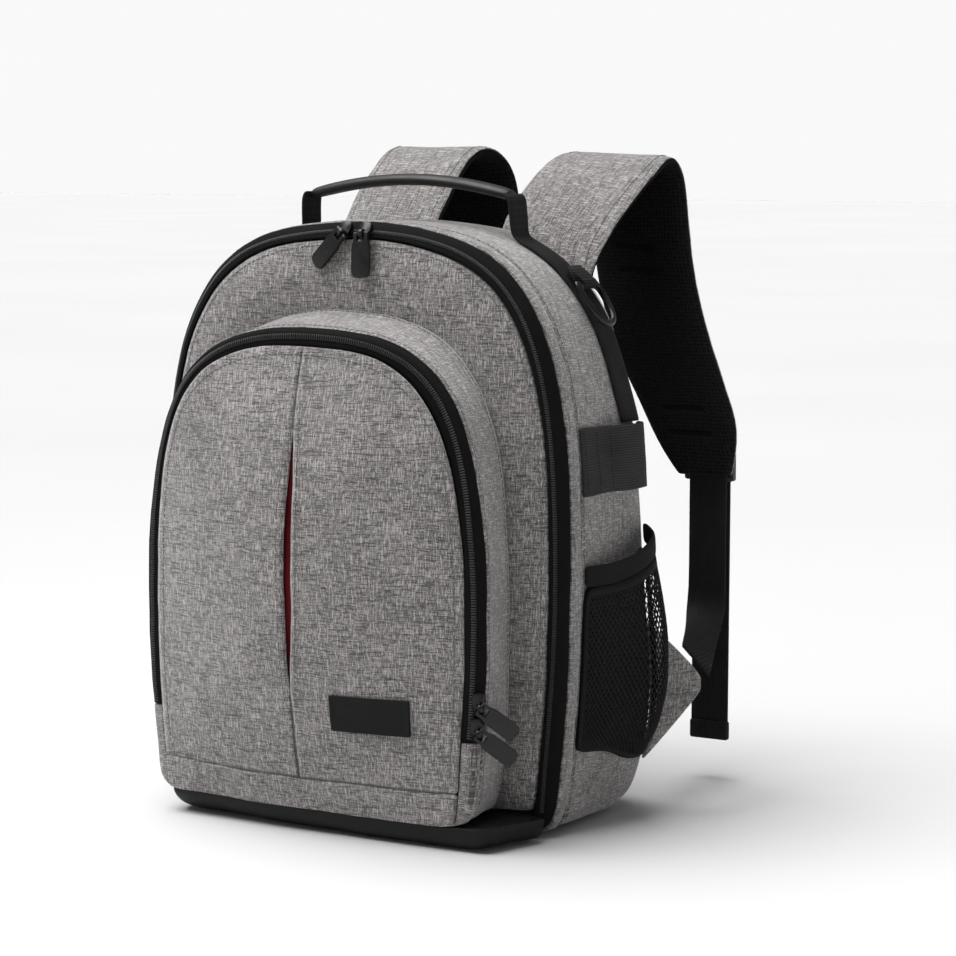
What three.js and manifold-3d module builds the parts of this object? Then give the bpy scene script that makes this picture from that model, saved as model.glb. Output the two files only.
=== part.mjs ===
// A grey camera backpack, standing on its base. Sizes are in millimetres.
// X runs to the right as seen from the front, Y to the back, Z up. The origin is the middle of the body's base.
import * as THREE from "three";
import { mergeVertices } from "three/addons/utils/BufferGeometryUtils.js";
import Module from "manifold-3d";

const wasm = await Module();
wasm.setup();

// Gap between pieces that touch.
const CLEARANCE = 0.3;

// Main body: an arched case, closed at the front by a panel inside a zip.
const BODY_WIDTH = 314;
const BODY_HEIGHT = 388;
const BODY_DEPTH = 120;
const BODY_FOOT_WIDTH = 296;
const BODY_FOOT_RADIUS = 22;
const BODY_WAIST = 170;
const BODY_WALL = 4;
const BACK_ROUND = 28;
const BACK_PANEL_THICKNESS = 9;
const FRONT_PANEL_THICKNESS = 4;
const FRONT_PANEL_CROWN = 5;
const MAIN_ZIP_WIDTH = 11;
const ZIP_BORDER_WIDTH = 12;
const ZIP_BORDER_RAISE = 1;
const TAPE_THICKNESS = 2;

// Sag of the packed body's foot, towards the back and the sides.
const SAG_FOOT = -40;
const SAG_PEAK = 60;
const SAG_TOP = 210;
const SAG_BACK = 18;
const SAG_SIDE = 6;

// Front pocket, its zip and its pleat.
const POCKET_WIDTH = 244;
const POCKET_HEIGHT = 332;
const POCKET_FRONT_WIDTH = 260;
const POCKET_FRONT_HEIGHT = 323;
const POCKET_WAIST = 136;
const POCKET_FOOT_RADIUS = 18;
const POCKET_DEPTH = 40;
const POCKET_WALL = 3;
const POCKET_BULGE = 23;
const POCKET_ZIP_WIDTH = 12;
const POCKET_ZIP_DEPTH = 8;
const POCKET_ZIP_END = 70;
const HEM_BAND_TOP = 37;
const PLEAT_WIDTH = 5.5;
const PLEAT_BOTTOM = 92;
const PLEAT_TOP = 260;
const PLEAT_LINING_WIDTH = 18;
const PLEAT_LINING_THICKNESS = 1;

// Black tray under the front panel and the pocket.
const BASE_HEIGHT = 16;
const BASE_WALL = 2.5;
const BASE_ROUND = 12;
const BASE_TUCK = 15;
const BASE_END_TUCK = 9;
const BASE_TWIST = 0.05;
const BASE_X = 10;
const BASE_BACK_HALF = 138;
const BASE_SIDE_HALF = 126;
const BASE_FRONT_HALF = 114;

// Patch on the pocket.
const PATCH_WIDTH = 54;
const PATCH_HEIGHT = 23;
const PATCH_THICKNESS = 1.6;
const PATCH_X = 57;
const PATCH_Z = 83;

// Zip sliders and their pulls.
const SLIDER_LENGTH = 12;
const SLIDER_WIDTH = 9;
const SLIDER_HEIGHT = 3;
const BRIDGE_WIDTH = 3;
const BRIDGE_THICKNESS = 1.4;
const PULL_LENGTH = 30;
const PULL_WIDTH = 10;
const PULL_THICKNESS = 2.2;
const PULL_BAR = 1.8;
const PULL_EYE_WIDTH = 4.4;
const PULL_EYE_LENGTH = 4.6;
const PULL_DROOP = 15;
const RIGHT_PULL_TILT = 6;
const LEFT_PULL_TILT = -45;
const POCKET_PULL_TILT = 52;
const BAR_LIFT = 1.5;
const BAR_OFFSET = 3;
const MAIN_SLIDERS_X = 3;
const MAIN_SLIDER_SPREAD = 15;
const POCKET_SLIDER_SPREAD = 16;
const POCKET_SLIDER_RISE = 10;

// Carrying handle, and the webbing that runs from it down both sides.
const HANDLE_Y = 11;
const HANDLE_LENGTH = 154;
const HANDLE_RISE = 16;
const HANDLE_ARCH = 10;
const GRIP_HEIGHT = 7;
const GRIP_DEPTH = 14;
const SIDE_WEBBING_WIDTH = 22;
const SIDE_WEBBING_LEAN = 20;
const WEBBING_THICKNESS = 1.8;

// Ring on the right side's webbing, and the tab that holds it.
const RING_Z = 346;
const RING_WIDTH = 26;
const RING_LENGTH = 31;
const RING_WIRE = 3.6;
const RING_TAB_WIDTH = 16;
const RING_TAB_HEIGHT = 15;
const RING_TAB_WALL = 1.5;

// Elastic loop and net pocket on each side.
const ELASTIC_Z = 217;
const ELASTIC_HEIGHT = 42;
const ELASTIC_THICKNESS = 2;
const ELASTIC_BULGE = 8;
const NET_THICKNESS = 1.4;
const NET_BULGE = 20;
const SEAM_LIFT = 0.2;
const NET_BOTTOM = 37;
const NET_WAVE = 17;
const NET_TOP = 160;
const NET_TOP_SLOPE = 19;
const BINDING_HEIGHT = 13;
const BINDING_THICKNESS = 2.6;

// Shoulder straps.
const STRAP_WIDTH = 76;
const STRAP_BASE_X = 66;
const STRAP_SPLAY = 77;
const STRAP_BASE_Z = 340;
const STRAP_RISE = 87;
const STRAP_DROP = 215;
const STRAP_REACH = 97.5;
const STRAP_COVER_THICKNESS = 2.5;
const STRAP_PADDING_THICKNESS = 8;

// Ladder lock under each strap's end, its keeper, the strap's webbing and the tab at the body's foot.
const LOCK_WIDTH = 38;
const LOCK_HEIGHT = 20;
const LOCK_THICKNESS = 4;
const LOCK_BAR = 3.4;
const LOCK_OVERLAP = 15;
const STRAP_WEBBING_WIDTH = 28;
const KEEPER_LENGTH = 24;
const FREE_END_Z = 26;
const ANCHOR_LENGTH = 40;
const ANCHOR_HEIGHT = 92;
const ANCHOR_Z = 78;
const ANCHOR_THICKNESS = 3;
const ANCHOR_ANGLE = 60;

const GREY = { color: 0x8b8586, roughness: 0.95, metalness: 0 };
const BLACK_FABRIC = { color: 0x1b1b1b, roughness: 0.85, metalness: 0 };
const BLACK_MESH = { color: 0x0f0f0f, roughness: 0.95, metalness: 0 };
const BLACK_LEATHER = { color: 0x2a2728, roughness: 0.5, metalness: 0 };
const RED = { color: 0x5c0c10, roughness: 0.9, metalness: 0 };
const RUBBER = { color: 0x141414, roughness: 0.6, metalness: 0 };
const DARK_METAL = { color: 0x2d2d2d, roughness: 0.35, metalness: 0.7 };
const DARK_PLASTIC = { color: 0x3a3a3b, roughness: 0.5, metalness: 0 };

const BOTH_SIDES = [[1, "right"], [-1, "left"]];
const { lerp, mapLinear, degToRad, clamp, smoothstep } = THREE.MathUtils;
const backpack = new THREE.Group();

function add(name, geometry, finish, parent = backpack) {
  const mesh = new THREE.Mesh(geometry, new THREE.MeshStandardMaterial(finish));
  mesh.name = name;
  parent.add(mesh);
  return mesh;
}

const vec = (x, y, z) => new THREE.Vector3(x, y, z);

// Closed surface from points and triangles, turned so that it faces out.
function closedSurface(points, index) {
  let volume = 0;
  for (let i = 0; i < index.length; i += 3) {
    const [a, b, c] = [points[index[i]], points[index[i + 1]], points[index[i + 2]]];
    volume += a.dot(b.clone().cross(c));
  }
  if (volume < 0) index.reverse();
  const geometry = new THREE.BufferGeometry();
  geometry.setAttribute("position", new THREE.Float32BufferAttribute(points.flatMap((p) => [p.x, p.y, p.z]), 3));
  return geometry.setIndex(index);
}

// A solid through rings of points, all of one count. A loop of rings makes a band, otherwise both ends are capped.
function loft(rings, loop = false) {
  const count = rings[0].length;
  const points = rings.flat();
  const index = [];
  const last = loop ? rings.length : rings.length - 1;
  for (let i = 0; i < last; i++) {
    const next = (i + 1) % rings.length;
    for (let j = 0; j < count; j++) {
      const k = (j + 1) % count;
      const [a, b, c, d] = [i * count + j, i * count + k, next * count + k, next * count + j];
      index.push(a, b, c, a, c, d);
    }
  }
  if (!loop) {
    for (const [start, turn] of [[0, -1], [points.length - count, 1]]) {
      const hub = points.length;
      const centre = vec(0, 0, 0);
      for (let j = 0; j < count; j++) centre.add(points[start + j]);
      points.push(centre.divideScalar(count));
      for (let j = 0; j < count; j++) {
        const k = (j + 1) % count;
        index.push(...(turn > 0 ? [start + j, start + k, hub] : [start + k, start + j, hub]));
      }
    }
  }
  return closedSurface(points, index);
}

// A panel between two grids of points, its face and its back, closed round its rim.
function panel(face, back) {
  const [rows, columns] = [face.length, face[0].length];
  const index = [];
  const at = (i, j, side) => (side * rows + i) * columns + j;
  const quad = (a, b, c, d) => index.push(a, b, c, a, c, d);
  const [bottom, top, left, right] = [0, rows - 1, 0, columns - 1];
  for (let i = 0; i < top; i++) {
    for (let j = 0; j < right; j++) {
      quad(at(i, j, 0), at(i, j + 1, 0), at(i + 1, j + 1, 0), at(i + 1, j, 0));
      quad(at(i, j, 1), at(i + 1, j, 1), at(i + 1, j + 1, 1), at(i, j + 1, 1));
    }
    quad(at(i, left, 0), at(i + 1, left, 0), at(i + 1, left, 1), at(i, left, 1));
    quad(at(i + 1, right, 0), at(i, right, 0), at(i, right, 1), at(i + 1, right, 1));
  }
  for (let j = 0; j < right; j++) {
    quad(at(bottom, j + 1, 0), at(bottom, j, 0), at(bottom, j, 1), at(bottom, j + 1, 1));
    quad(at(top, j, 0), at(top, j + 1, 0), at(top, j + 1, 1), at(top, j, 1));
  }
  return closedSurface([...face.flat(), ...back.flat()], index);
}

// A strip through stations, each with its middle, direction across and width. The columns say how far the strip's
// two faces lie from its middle, along the direction that is square to it.
function ribbon(stations, columns) {
  const grids = ["high", "low"].map((face) => stations.map(({ middle, across, width }, i) => {
    const before = stations[Math.max(i - 1, 0)].middle;
    const after = stations[Math.min(i + 1, stations.length - 1)].middle;
    const side = across.clone().normalize();
    const out = side.clone().cross(after.clone().sub(before)).normalize();
    return columns.map((column) => middle.clone()
      .addScaledVector(side, (column.across * width) / 2).addScaledVector(out, column[face]));
  }));
  return panel(...grids);
}

const flatStrip = (thickness) => [-1, 1].map((across) => ({ across, high: thickness / 2, low: -thickness / 2 }));

// A bent wire or bar of round section round a closed flat path.
function closedWire(path, diameter, normal, sides = 8) {
  const rings = path.map((point, i) => {
    const before = path[(i + path.length - 1) % path.length];
    const after = path[(i + 1) % path.length];
    const inward = normal.clone().cross(after.clone().sub(before)).normalize();
    return Array.from({ length: sides }, (_, j) => {
      const turn = (2 * Math.PI * j) / sides;
      return point.clone().addScaledVector(inward, (diameter / 2) * Math.cos(turn))
        .addScaledVector(normal, (diameter / 2) * Math.sin(turn));
    });
  });
  return loft(rings, true);
}

function solidOf(geometry) {
  const bare = geometry.clone();
  bare.deleteAttribute("normal");
  bare.deleteAttribute("uv");
  const merged = mergeVertices(bare, 1e-3);
  const vertProperties = new Float32Array(merged.attributes.position.array);
  const triVerts = new Uint32Array(merged.index.array);
  return new wasm.Manifold(new wasm.Mesh({ numProp: 3, vertProperties, triVerts }));
}

function geometryOf(solid) {
  const { vertProperties, triVerts } = solid.getMesh();
  const geometry = new THREE.BufferGeometry();
  geometry.setAttribute("position", new THREE.Float32BufferAttribute([...vertProperties], 3));
  return geometry.setIndex([...triVerts]);
}

// Arch that the panels share, seen from the front: flat foot, sides that swell to the waist, round crown.
const CROWN_REACH = 0.83;
const SHOULDER_REACH = 0.755;
const FOOT_DIVISIONS = 2;
const SIDE_DIVISIONS = 5;
const SHOULDER_DIVISIONS = 9;
const SIDE_SWELL = 0.4;

function rightArch({ width, height, footWidth, footRadius, waist, bottom = 0 }, inset = 0) {
  const at = (x, z) => new THREE.Vector2(x, z);
  const [half, foot, top, low] = [width / 2 - inset, footWidth / 2 - inset, height - inset, bottom + inset];
  const radius = Math.max(footRadius - inset, footRadius / 4);
  const rise = waist - low - radius;
  const curves = [
    [new THREE.QuadraticBezierCurve(at(foot - radius, low), at(foot, low), at(foot, low + radius)), FOOT_DIVISIONS],
    [new THREE.CubicBezierCurve(
      at(foot, low + radius), at(lerp(foot, half, 0.5), low + radius + rise * SIDE_SWELL),
      at(half, waist - rise * SIDE_SWELL), at(half, waist)), SIDE_DIVISIONS],
    [new THREE.CubicBezierCurve(
      at(half, waist), at(half, lerp(waist, top, SHOULDER_REACH)),
      at(half * CROWN_REACH, top), at(0, top)), SHOULDER_DIVISIONS],
  ];
  return curves.flatMap(([curve, divisions], i) => curve.getPoints(divisions).slice(i ? 1 : 0));
}

function arch(sizes, inset = 0) {
  const right = rightArch(sizes, inset);
  return [...right, ...right.slice(0, -1).reverse().map((p) => new THREE.Vector2(-p.x, p.y))];
}

const atDepth = (outline, y) => outline.map((p) => vec(p.x, y, p.y));

// Half width of an arch at a height, on its straight facets.
function halfWidth(right, z) {
  const i = clamp(right.findIndex((p) => p.y >= z), 1, right.length - 1);
  return mapLinear(z, right[i - 1].y, right[i].y, right[i - 1].x, right[i].x);
}

// Height of the upper part of an arch at a distance from its middle.
function crownHeight(right, x) {
  const i = right.findIndex((p) => p.y > BODY_WAIST + 1 && p.x <= x);
  return mapLinear(x, right[i - 1].x, right[i].x, right[i - 1].y, right[i].y);
}

const bodyArch = {
  width: BODY_WIDTH, height: BODY_HEIGHT, footWidth: BODY_FOOT_WIDTH, footRadius: BODY_FOOT_RADIUS,
  waist: BODY_WAIST,
};
const BODY_FRONT = -BODY_DEPTH / 2;
const BODY_BACK = BODY_DEPTH / 2;
const ZIP_REAR_Y = BODY_FRONT + MAIN_ZIP_WIDTH;
const GUSSET_FRONT_Y = ZIP_REAR_Y + ZIP_BORDER_WIDTH;

// Turns of the main zip tape's section round the body's front edge, in degrees.
const ZIP_TURNS = [5, 45, 85];

// Outer face of the gusset, from its front edge round to the back panel, as depth and inset from the full arch.
const BACK_ROUND_Y = BODY_BACK - BACK_ROUND;
const gussetRows = [0, 0.34, 0.68].map((share) => (
  { y: lerp(GUSSET_FRONT_Y + CLEARANCE, BACK_ROUND_Y, share), inset: 0 }));
for (const turn of [0, 25, 50, 72]) {
  const angle = degToRad(turn);
  gussetRows.push({
    y: BACK_ROUND_Y + BACK_ROUND * Math.sin(angle),
    inset: BACK_ROUND * (1 - Math.cos(angle)),
  });
}
const BACK_RIM = gussetRows.at(-1);

function gussetInset(y) {
  const i = clamp(gussetRows.findIndex((row) => row.y >= y), 1, gussetRows.length - 1);
  const [a, b] = [gussetRows[i - 1], gussetRows[i]];
  return mapLinear(clamp(y, a.y, b.y), a.y, b.y, a.inset, b.inset);
}

// Stretch of the side that the elastic and the net pocket cover: flat at first, then round to the back.
const SIDE_FRONT_Y = GUSSET_FRONT_Y + CLEARANCE * 5;
const SIDE_BACK_Y = gussetRows.find((row) => row.y > BACK_ROUND_Y).y;
const sideY = ({ flat, round }) => lerp(SIDE_FRONT_Y, BACK_ROUND_Y, flat) + (SIDE_BACK_Y - BACK_ROUND_Y) * round;

// The body's foot sags to the back and the sides. The shift fades out up the body and towards its front.
function sag(point) {
  const fall = smoothstep(point.z, SAG_FOOT, SAG_PEAK) * (1 - smoothstep(point.z, SAG_PEAK, SAG_TOP));
  const share = fall * clamp(mapLinear(point.y, gussetRows[0].y, BODY_BACK, 0, 1), 0, 1);
  return vec(point.x + Math.sign(point.x) * SAG_SIDE * share, point.y + SAG_BACK * share, point.z);
}

function sagged(geometry) {
  const position = geometry.attributes.position;
  for (let i = 0; i < position.count; i++) {
    position.setXYZ(i, ...sag(new THREE.Vector3().fromBufferAttribute(position, i)).toArray());
  }
  return geometry;
}

const bodySide = (y, z) => halfWidth(rightArch(bodyArch, gussetInset(y)), z);

function buildBody() {
  const ring = (inset, y) => atDepth(arch(bodyArch, inset), y);
  const outer = gussetRows.map(({ y, inset }) => ring(inset, y));
  const inner = gussetRows.map(({ y, inset }) => ring(inset + BODY_WALL, y));
  add("gusset", sagged(loft([...outer, ...inner.reverse()], true)), GREY);

  const border = [
    ring(0, ZIP_REAR_Y), ring(-ZIP_BORDER_RAISE, ZIP_REAR_Y + ZIP_BORDER_RAISE * 2),
    ring(-ZIP_BORDER_RAISE, GUSSET_FRONT_Y - ZIP_BORDER_RAISE), ring(0, GUSSET_FRONT_Y),
    ring(BODY_WALL, GUSSET_FRONT_Y), ring(BODY_WALL, ZIP_REAR_Y),
  ];
  border.flat().forEach((p) => { p.z = Math.max(p.z, 0); });
  add("zip_border", loft(border, true), GREY);

  const tape = (offset) => ZIP_TURNS.map((turn) => {
    const radius = MAIN_ZIP_WIDTH - offset;
    const inset = MAIN_ZIP_WIDTH - radius * Math.cos(degToRad(turn));
    return ring(inset, ZIP_REAR_Y - CLEARANCE - radius * Math.sin(degToRad(turn)));
  });
  add("main_zip_tape", loft([...tape(0), ...tape(TAPE_THICKNESS).reverse()], true), BLACK_FABRIC);

  const crown = [
    { inset: 0, rise: 0 }, { inset: 10, rise: 0.55 }, { inset: 24, rise: 0.9 }, { inset: 36, rise: 1 },
  ];
  const panelArch = { ...bodyArch, bottom: BASE_HEIGHT - MAIN_ZIP_WIDTH };
  const face = (depth) => crown.map(({ inset, rise }) => atDepth(
    arch(panelArch, MAIN_ZIP_WIDTH + CLEARANCE + inset), BODY_FRONT - FRONT_PANEL_CROWN * rise + depth));
  add("front_panel", loft([...face(0).reverse(), ...face(FRONT_PANEL_THICKNESS)]), GREY);

  const swell = [
    { inset: 0, rise: 0 }, { inset: 2, rise: 0.5 }, { inset: 12, rise: 0.85 }, { inset: 34, rise: 1 },
  ];
  const backY = BACK_RIM.y + CLEARANCE;
  const backFace = swell.map(({ inset, rise }) => (
    ring(BACK_RIM.inset + inset, backY + BACK_PANEL_THICKNESS * rise)));
  const backRings = [swell.at(-1).inset, BODY_WALL].map((inset) => ring(BACK_RIM.inset + inset, backY));
  backRings.push(...backFace);
  add("back_panel", sagged(loft(backRings)), BLACK_MESH);
}

// Front pocket. Its wall runs forward from the front panel, and its face swells between the zip and the base.
const POCKET_BACK_Y = BODY_FRONT - FRONT_PANEL_CROWN - CLEARANCE;
const POCKET_EDGE_Y = POCKET_BACK_Y - POCKET_DEPTH;
const POCKET_FACE_Y = POCKET_EDGE_Y - POCKET_ZIP_DEPTH;
const POCKET_FOOT = BASE_HEIGHT + CLEARANCE;
const POCKET_FOOT_SHARE = 0.95;
const BULGE_AT_FOOT = 0.04;
const BULGE_AT_TOP = 0.98;
const BULGE_FULLNESS = 2.2;

// Arch of the pocket at a share of its depth. An inset moves its foot only by the foot's own inset.
function pocketArch(share, inset, footInset = 0) {
  const width = lerp(POCKET_WIDTH, POCKET_FRONT_WIDTH, share);
  const height = lerp(POCKET_HEIGHT, POCKET_FRONT_HEIGHT, share);
  return rightArch({
    width, height, footWidth: width * POCKET_FOOT_SHARE, footRadius: POCKET_FOOT_RADIUS, waist: POCKET_WAIST,
    bottom: POCKET_FOOT - inset + footInset,
  }, inset);
}

// Depth of the pocket's face, which swells across its width and most at the middle of its height.
function pocketFace(x, z) {
  const half = POCKET_FRONT_WIDTH / 2 - POCKET_ZIP_WIDTH;
  const top = POCKET_FRONT_HEIGHT - POCKET_ZIP_WIDTH;
  const across = Math.max(0, 1 - (x / half) ** 2);
  const up = clamp(mapLinear(z, POCKET_FOOT, top, BULGE_AT_FOOT, BULGE_AT_TOP), 0, 1);
  return POCKET_FACE_Y - POCKET_BULGE * across * (1 - Math.abs(up * 2 - 1) ** BULGE_FULLNESS);
}

// Part of the pocket's face between two heights.
function facePanel(low, high) {
  const outline = pocketArch(1, POCKET_ZIP_WIDTH + CLEARANCE);
  const peak = outline.at(-1).y;
  const corners = outline.map((p) => p.y).filter((z) => z > low + 1 && z < Math.min(high, peak) - 1);
  const heights = [low, ...corners, Math.min(high, peak - CLEARANCE)];
  const columns = [-1, -0.85, -0.62, -0.4, -0.2, 0, 0.2, 0.4, 0.62, 0.85, 1];
  const rows = (depth) => heights.map((z) => columns.map((column) => {
    const x = column * Math.max(halfWidth(outline, z), POCKET_WALL);
    return vec(x, pocketFace(x, z) + depth, z);
  }));
  return panel(rows(0), rows(POCKET_WALL));
}

// Sections over the pocket's corner, between its wall and its face, for the points that are picked from an outline.
const ZIP_RIDGE = { inset: 2.6, forward: 0.72 };

function cornerSections(pick) {
  const sections = [
    { inset: CLEARANCE, forward: 0 }, ZIP_RIDGE, { inset: POCKET_ZIP_WIDTH, forward: 1 },
    { inset: POCKET_ZIP_WIDTH, forward: 0.74 }, { inset: 4.6, forward: 0.48 }, { inset: 2.8, forward: 0 },
  ];
  const lines = sections.map(({ inset, forward }) => atDepth(
    pick(pocketArch(1, inset)), lerp(POCKET_EDGE_Y - CLEARANCE, POCKET_FACE_Y, forward)));
  return lines[0].map((_, i) => lines.map((line) => line[i]));
}

// Corner of the pocket's arch next to the zip's end. The end itself takes its place.
const ZIP_END_CORNER = FOOT_DIVISIONS + 2;

function aboveZipEnd(right) {
  const half = [new THREE.Vector2(halfWidth(right, POCKET_ZIP_END), POCKET_ZIP_END),
    ...right.slice(ZIP_END_CORNER + 1)];
  return [...half, ...half.slice(0, -1).reverse().map((p) => new THREE.Vector2(-p.x, p.y))];
}

function belowZipEnd(right) {
  const end = POCKET_ZIP_END - CLEARANCE;
  return [...right.slice(FOOT_DIVISIONS, ZIP_END_CORNER), new THREE.Vector2(halfWidth(right, end), end)];
}

function buildPocket() {
  const shares = [0, 0.5, 1];
  const ring = (share, inset) => {
    const right = pocketArch(share, inset, inset);
    const left = right.slice(0, -1).reverse().map((p) => new THREE.Vector2(-p.x, p.y));
    return atDepth([...right, ...left], POCKET_BACK_Y - POCKET_DEPTH * share);
  };
  const outer = shares.map((share) => ring(share, 0));
  const inner = shares.map((share) => ring(share, POCKET_WALL));
  add("pocket_gusset", loft([...outer, ...inner.reverse()], true), GREY);

  add("pocket_zip_tape", loft(cornerSections(aboveZipEnd)), BLACK_FABRIC);
  for (const [side, name] of BOTH_SIDES) {
    const sections = cornerSections(belowZipEnd);
    sections.flat().forEach((p) => { p.x *= side; });
    add("pocket_corner_" + name, loft(sections), GREY);
  }

  const middle = (PLEAT_BOTTOM + PLEAT_TOP) / 2;
  const slitShape = new THREE.Shape();
  slitShape.moveTo(0, PLEAT_BOTTOM);
  slitShape.quadraticCurveTo(PLEAT_WIDTH, middle, 0, PLEAT_TOP);
  slitShape.quadraticCurveTo(-PLEAT_WIDTH, middle, 0, PLEAT_BOTTOM);
  const slit = new THREE.ExtrudeGeometry(
    slitShape, { depth: BODY_DEPTH, bevelEnabled: false, curveSegments: 4 });
  slit.rotateX(Math.PI / 2).translate(0, POCKET_FACE_Y + BODY_DEPTH / 2, 0);
  const front = solidOf(facePanel(HEM_BAND_TOP + CLEARANCE, BODY_HEIGHT)).subtract(solidOf(slit));
  add("pocket_front", geometryOf(front), GREY);
  add("pocket_hem_band", facePanel(POCKET_FOOT, HEM_BAND_TOP), GREY);

  const strips = 8;
  const lining = Array.from({ length: strips + 1 }, (_, i) => {
    const z = lerp(PLEAT_BOTTOM - 8, PLEAT_TOP + 8, i / strips);
    const y = pocketFace(0, z) + POCKET_WALL + CLEARANCE * 3;
    return [-1, 1].map((side) => vec((side * PLEAT_LINING_WIDTH) / 2, y, z));
  });
  const liningBack = lining.map((row) => row.map((p) => p.clone().add(vec(0, PLEAT_LINING_THICKNESS, 0))));
  add("pleat_lining", panel(lining, liningBack), RED);

  const columns = 5;
  const patch = (lift) => [-0.5, 0, 0.5].map((up) => Array.from({ length: columns + 1 }, (_, i) => {
    const x = PATCH_X + PATCH_WIDTH * (i / columns - 0.5);
    const z = PATCH_Z + PATCH_HEIGHT * up;
    return vec(x, pocketFace(x, z) - lift, z);
  }));
  add("label_patch", panel(patch(CLEARANCE + PATCH_THICKNESS), patch(CLEARANCE)), RUBBER);
}

// Plan of the tray under the front: as wide as the body at its back, and round to the pocket's face at its front.
// Its tuck draws it in below, more so on the left.
function trayPlan(tuck, wall) {
  const [backHalf, sideHalf, frontHalf] = [BASE_BACK_HALF, BASE_SIDE_HALF, BASE_FRONT_HALF]
    .map((x) => x - BASE_END_TUCK * tuck - wall);
  const backY = BODY_FRONT - CLEARANCE - wall;
  const edgeY = pocketFace(POCKET_FRONT_WIDTH / 2, POCKET_FOOT) + BASE_TUCK * tuck + wall;
  const middleY = pocketFace(0, POCKET_FOOT) + BASE_TUCK * tuck + wall;
  const plan = new THREE.Path();
  plan.moveTo(backHalf, backY);
  plan.lineTo(sideHalf, lerp(backY, edgeY, 0.6));
  plan.quadraticCurveTo(lerp(sideHalf, frontHalf, 0.2), edgeY, frontHalf, edgeY);
  plan.quadraticCurveTo(frontHalf * 0.4, middleY, 0, middleY);
  const right = plan.getPoints(4);
  const outline = [...right, ...right.slice(0, -1).reverse().map((p) => new THREE.Vector2(-p.x, p.y))];
  return outline.map((p) => new THREE.Vector2(
    p.x + BASE_X, p.y - BASE_TWIST * tuck * p.x * mapLinear(p.y, backY, edgeY, 0, 1)));
}

function buildTray() {
  const curl = [{ tuck: 1, rise: 0 }, { tuck: 0.32, rise: 0.33 }, { tuck: 0, rise: 1 }];
  const ring = (tuck, wall, z) => trayPlan(tuck, wall).map((p) => vec(p.x, p.y, z));
  const outer = curl.map(({ tuck, rise }) => ring(tuck, 0, BASE_ROUND * rise));
  const inner = curl.map(({ tuck, rise }) => (
    ring(tuck, BASE_WALL, Math.min(BASE_ROUND * rise + BASE_WALL, BASE_ROUND + BASE_WALL / 2))));
  const rim = [ring(0, 0, BASE_HEIGHT), ring(0, BASE_WALL, BASE_HEIGHT)];
  add("front_base", loft([...outer, ...rim, ...inner.reverse()]), BLACK_FABRIC);
}

// Slider on a zip, with a pull that turns on a bar under the slider's bridge. In the slider's own frame the zip runs
// along Y, with the pull hanging towards -Y, and Z points away from the fabric.
const BAR_AXIS = SLIDER_HEIGHT + BAR_LIFT + PULL_BAR / 2;
const BRIDGE_INNER = PULL_BAR / 2 + CLEARANCE;
const BRIDGE_OUTER = BRIDGE_INNER + BRIDGE_THICKNESS;

function sliderGeometry(tilt) {
  const plan = new THREE.Shape();
  const [half, end] = [SLIDER_WIDTH / 2, SLIDER_LENGTH / 2];
  plan.moveTo(-half * 0.55, -end);
  plan.lineTo(half * 0.55, -end);
  plan.lineTo(half, end * 0.3);
  plan.quadraticCurveTo(half, end, half * 0.4, end);
  plan.lineTo(-half * 0.4, end);
  plan.quadraticCurveTo(-half, end, -half, end * 0.3);
  const body = new THREE.ExtrudeGeometry(
    plan, { depth: SLIDER_HEIGHT, bevelEnabled: false, curveSegments: 2 });
  const arc = new THREE.Shape();
  arc.moveTo(-BRIDGE_OUTER, SLIDER_HEIGHT / 2);
  arc.lineTo(BRIDGE_OUTER, SLIDER_HEIGHT / 2);
  arc.lineTo(BRIDGE_OUTER, BAR_AXIS);
  arc.absarc(0, BAR_AXIS, BRIDGE_OUTER, 0, Math.PI);
  const hole = new THREE.Path();
  hole.moveTo(-BRIDGE_INNER, SLIDER_HEIGHT);
  hole.lineTo(BRIDGE_INNER, SLIDER_HEIGHT);
  hole.lineTo(BRIDGE_INNER, BAR_AXIS);
  hole.absarc(0, BAR_AXIS, BRIDGE_INNER, 0, Math.PI);
  arc.holes.push(hole);
  const bridge = new THREE.ExtrudeGeometry(
    arc, { depth: BRIDGE_WIDTH, bevelEnabled: false, curveSegments: 4 });
  bridge.translate(0, 0, -BRIDGE_WIDTH / 2).rotateX(Math.PI / 2).rotateZ(Math.PI / 2 + tilt);
  bridge.translate(0, -BAR_OFFSET, 0);
  return geometryOf(solidOf(body).add(solidOf(bridge)));
}

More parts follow.
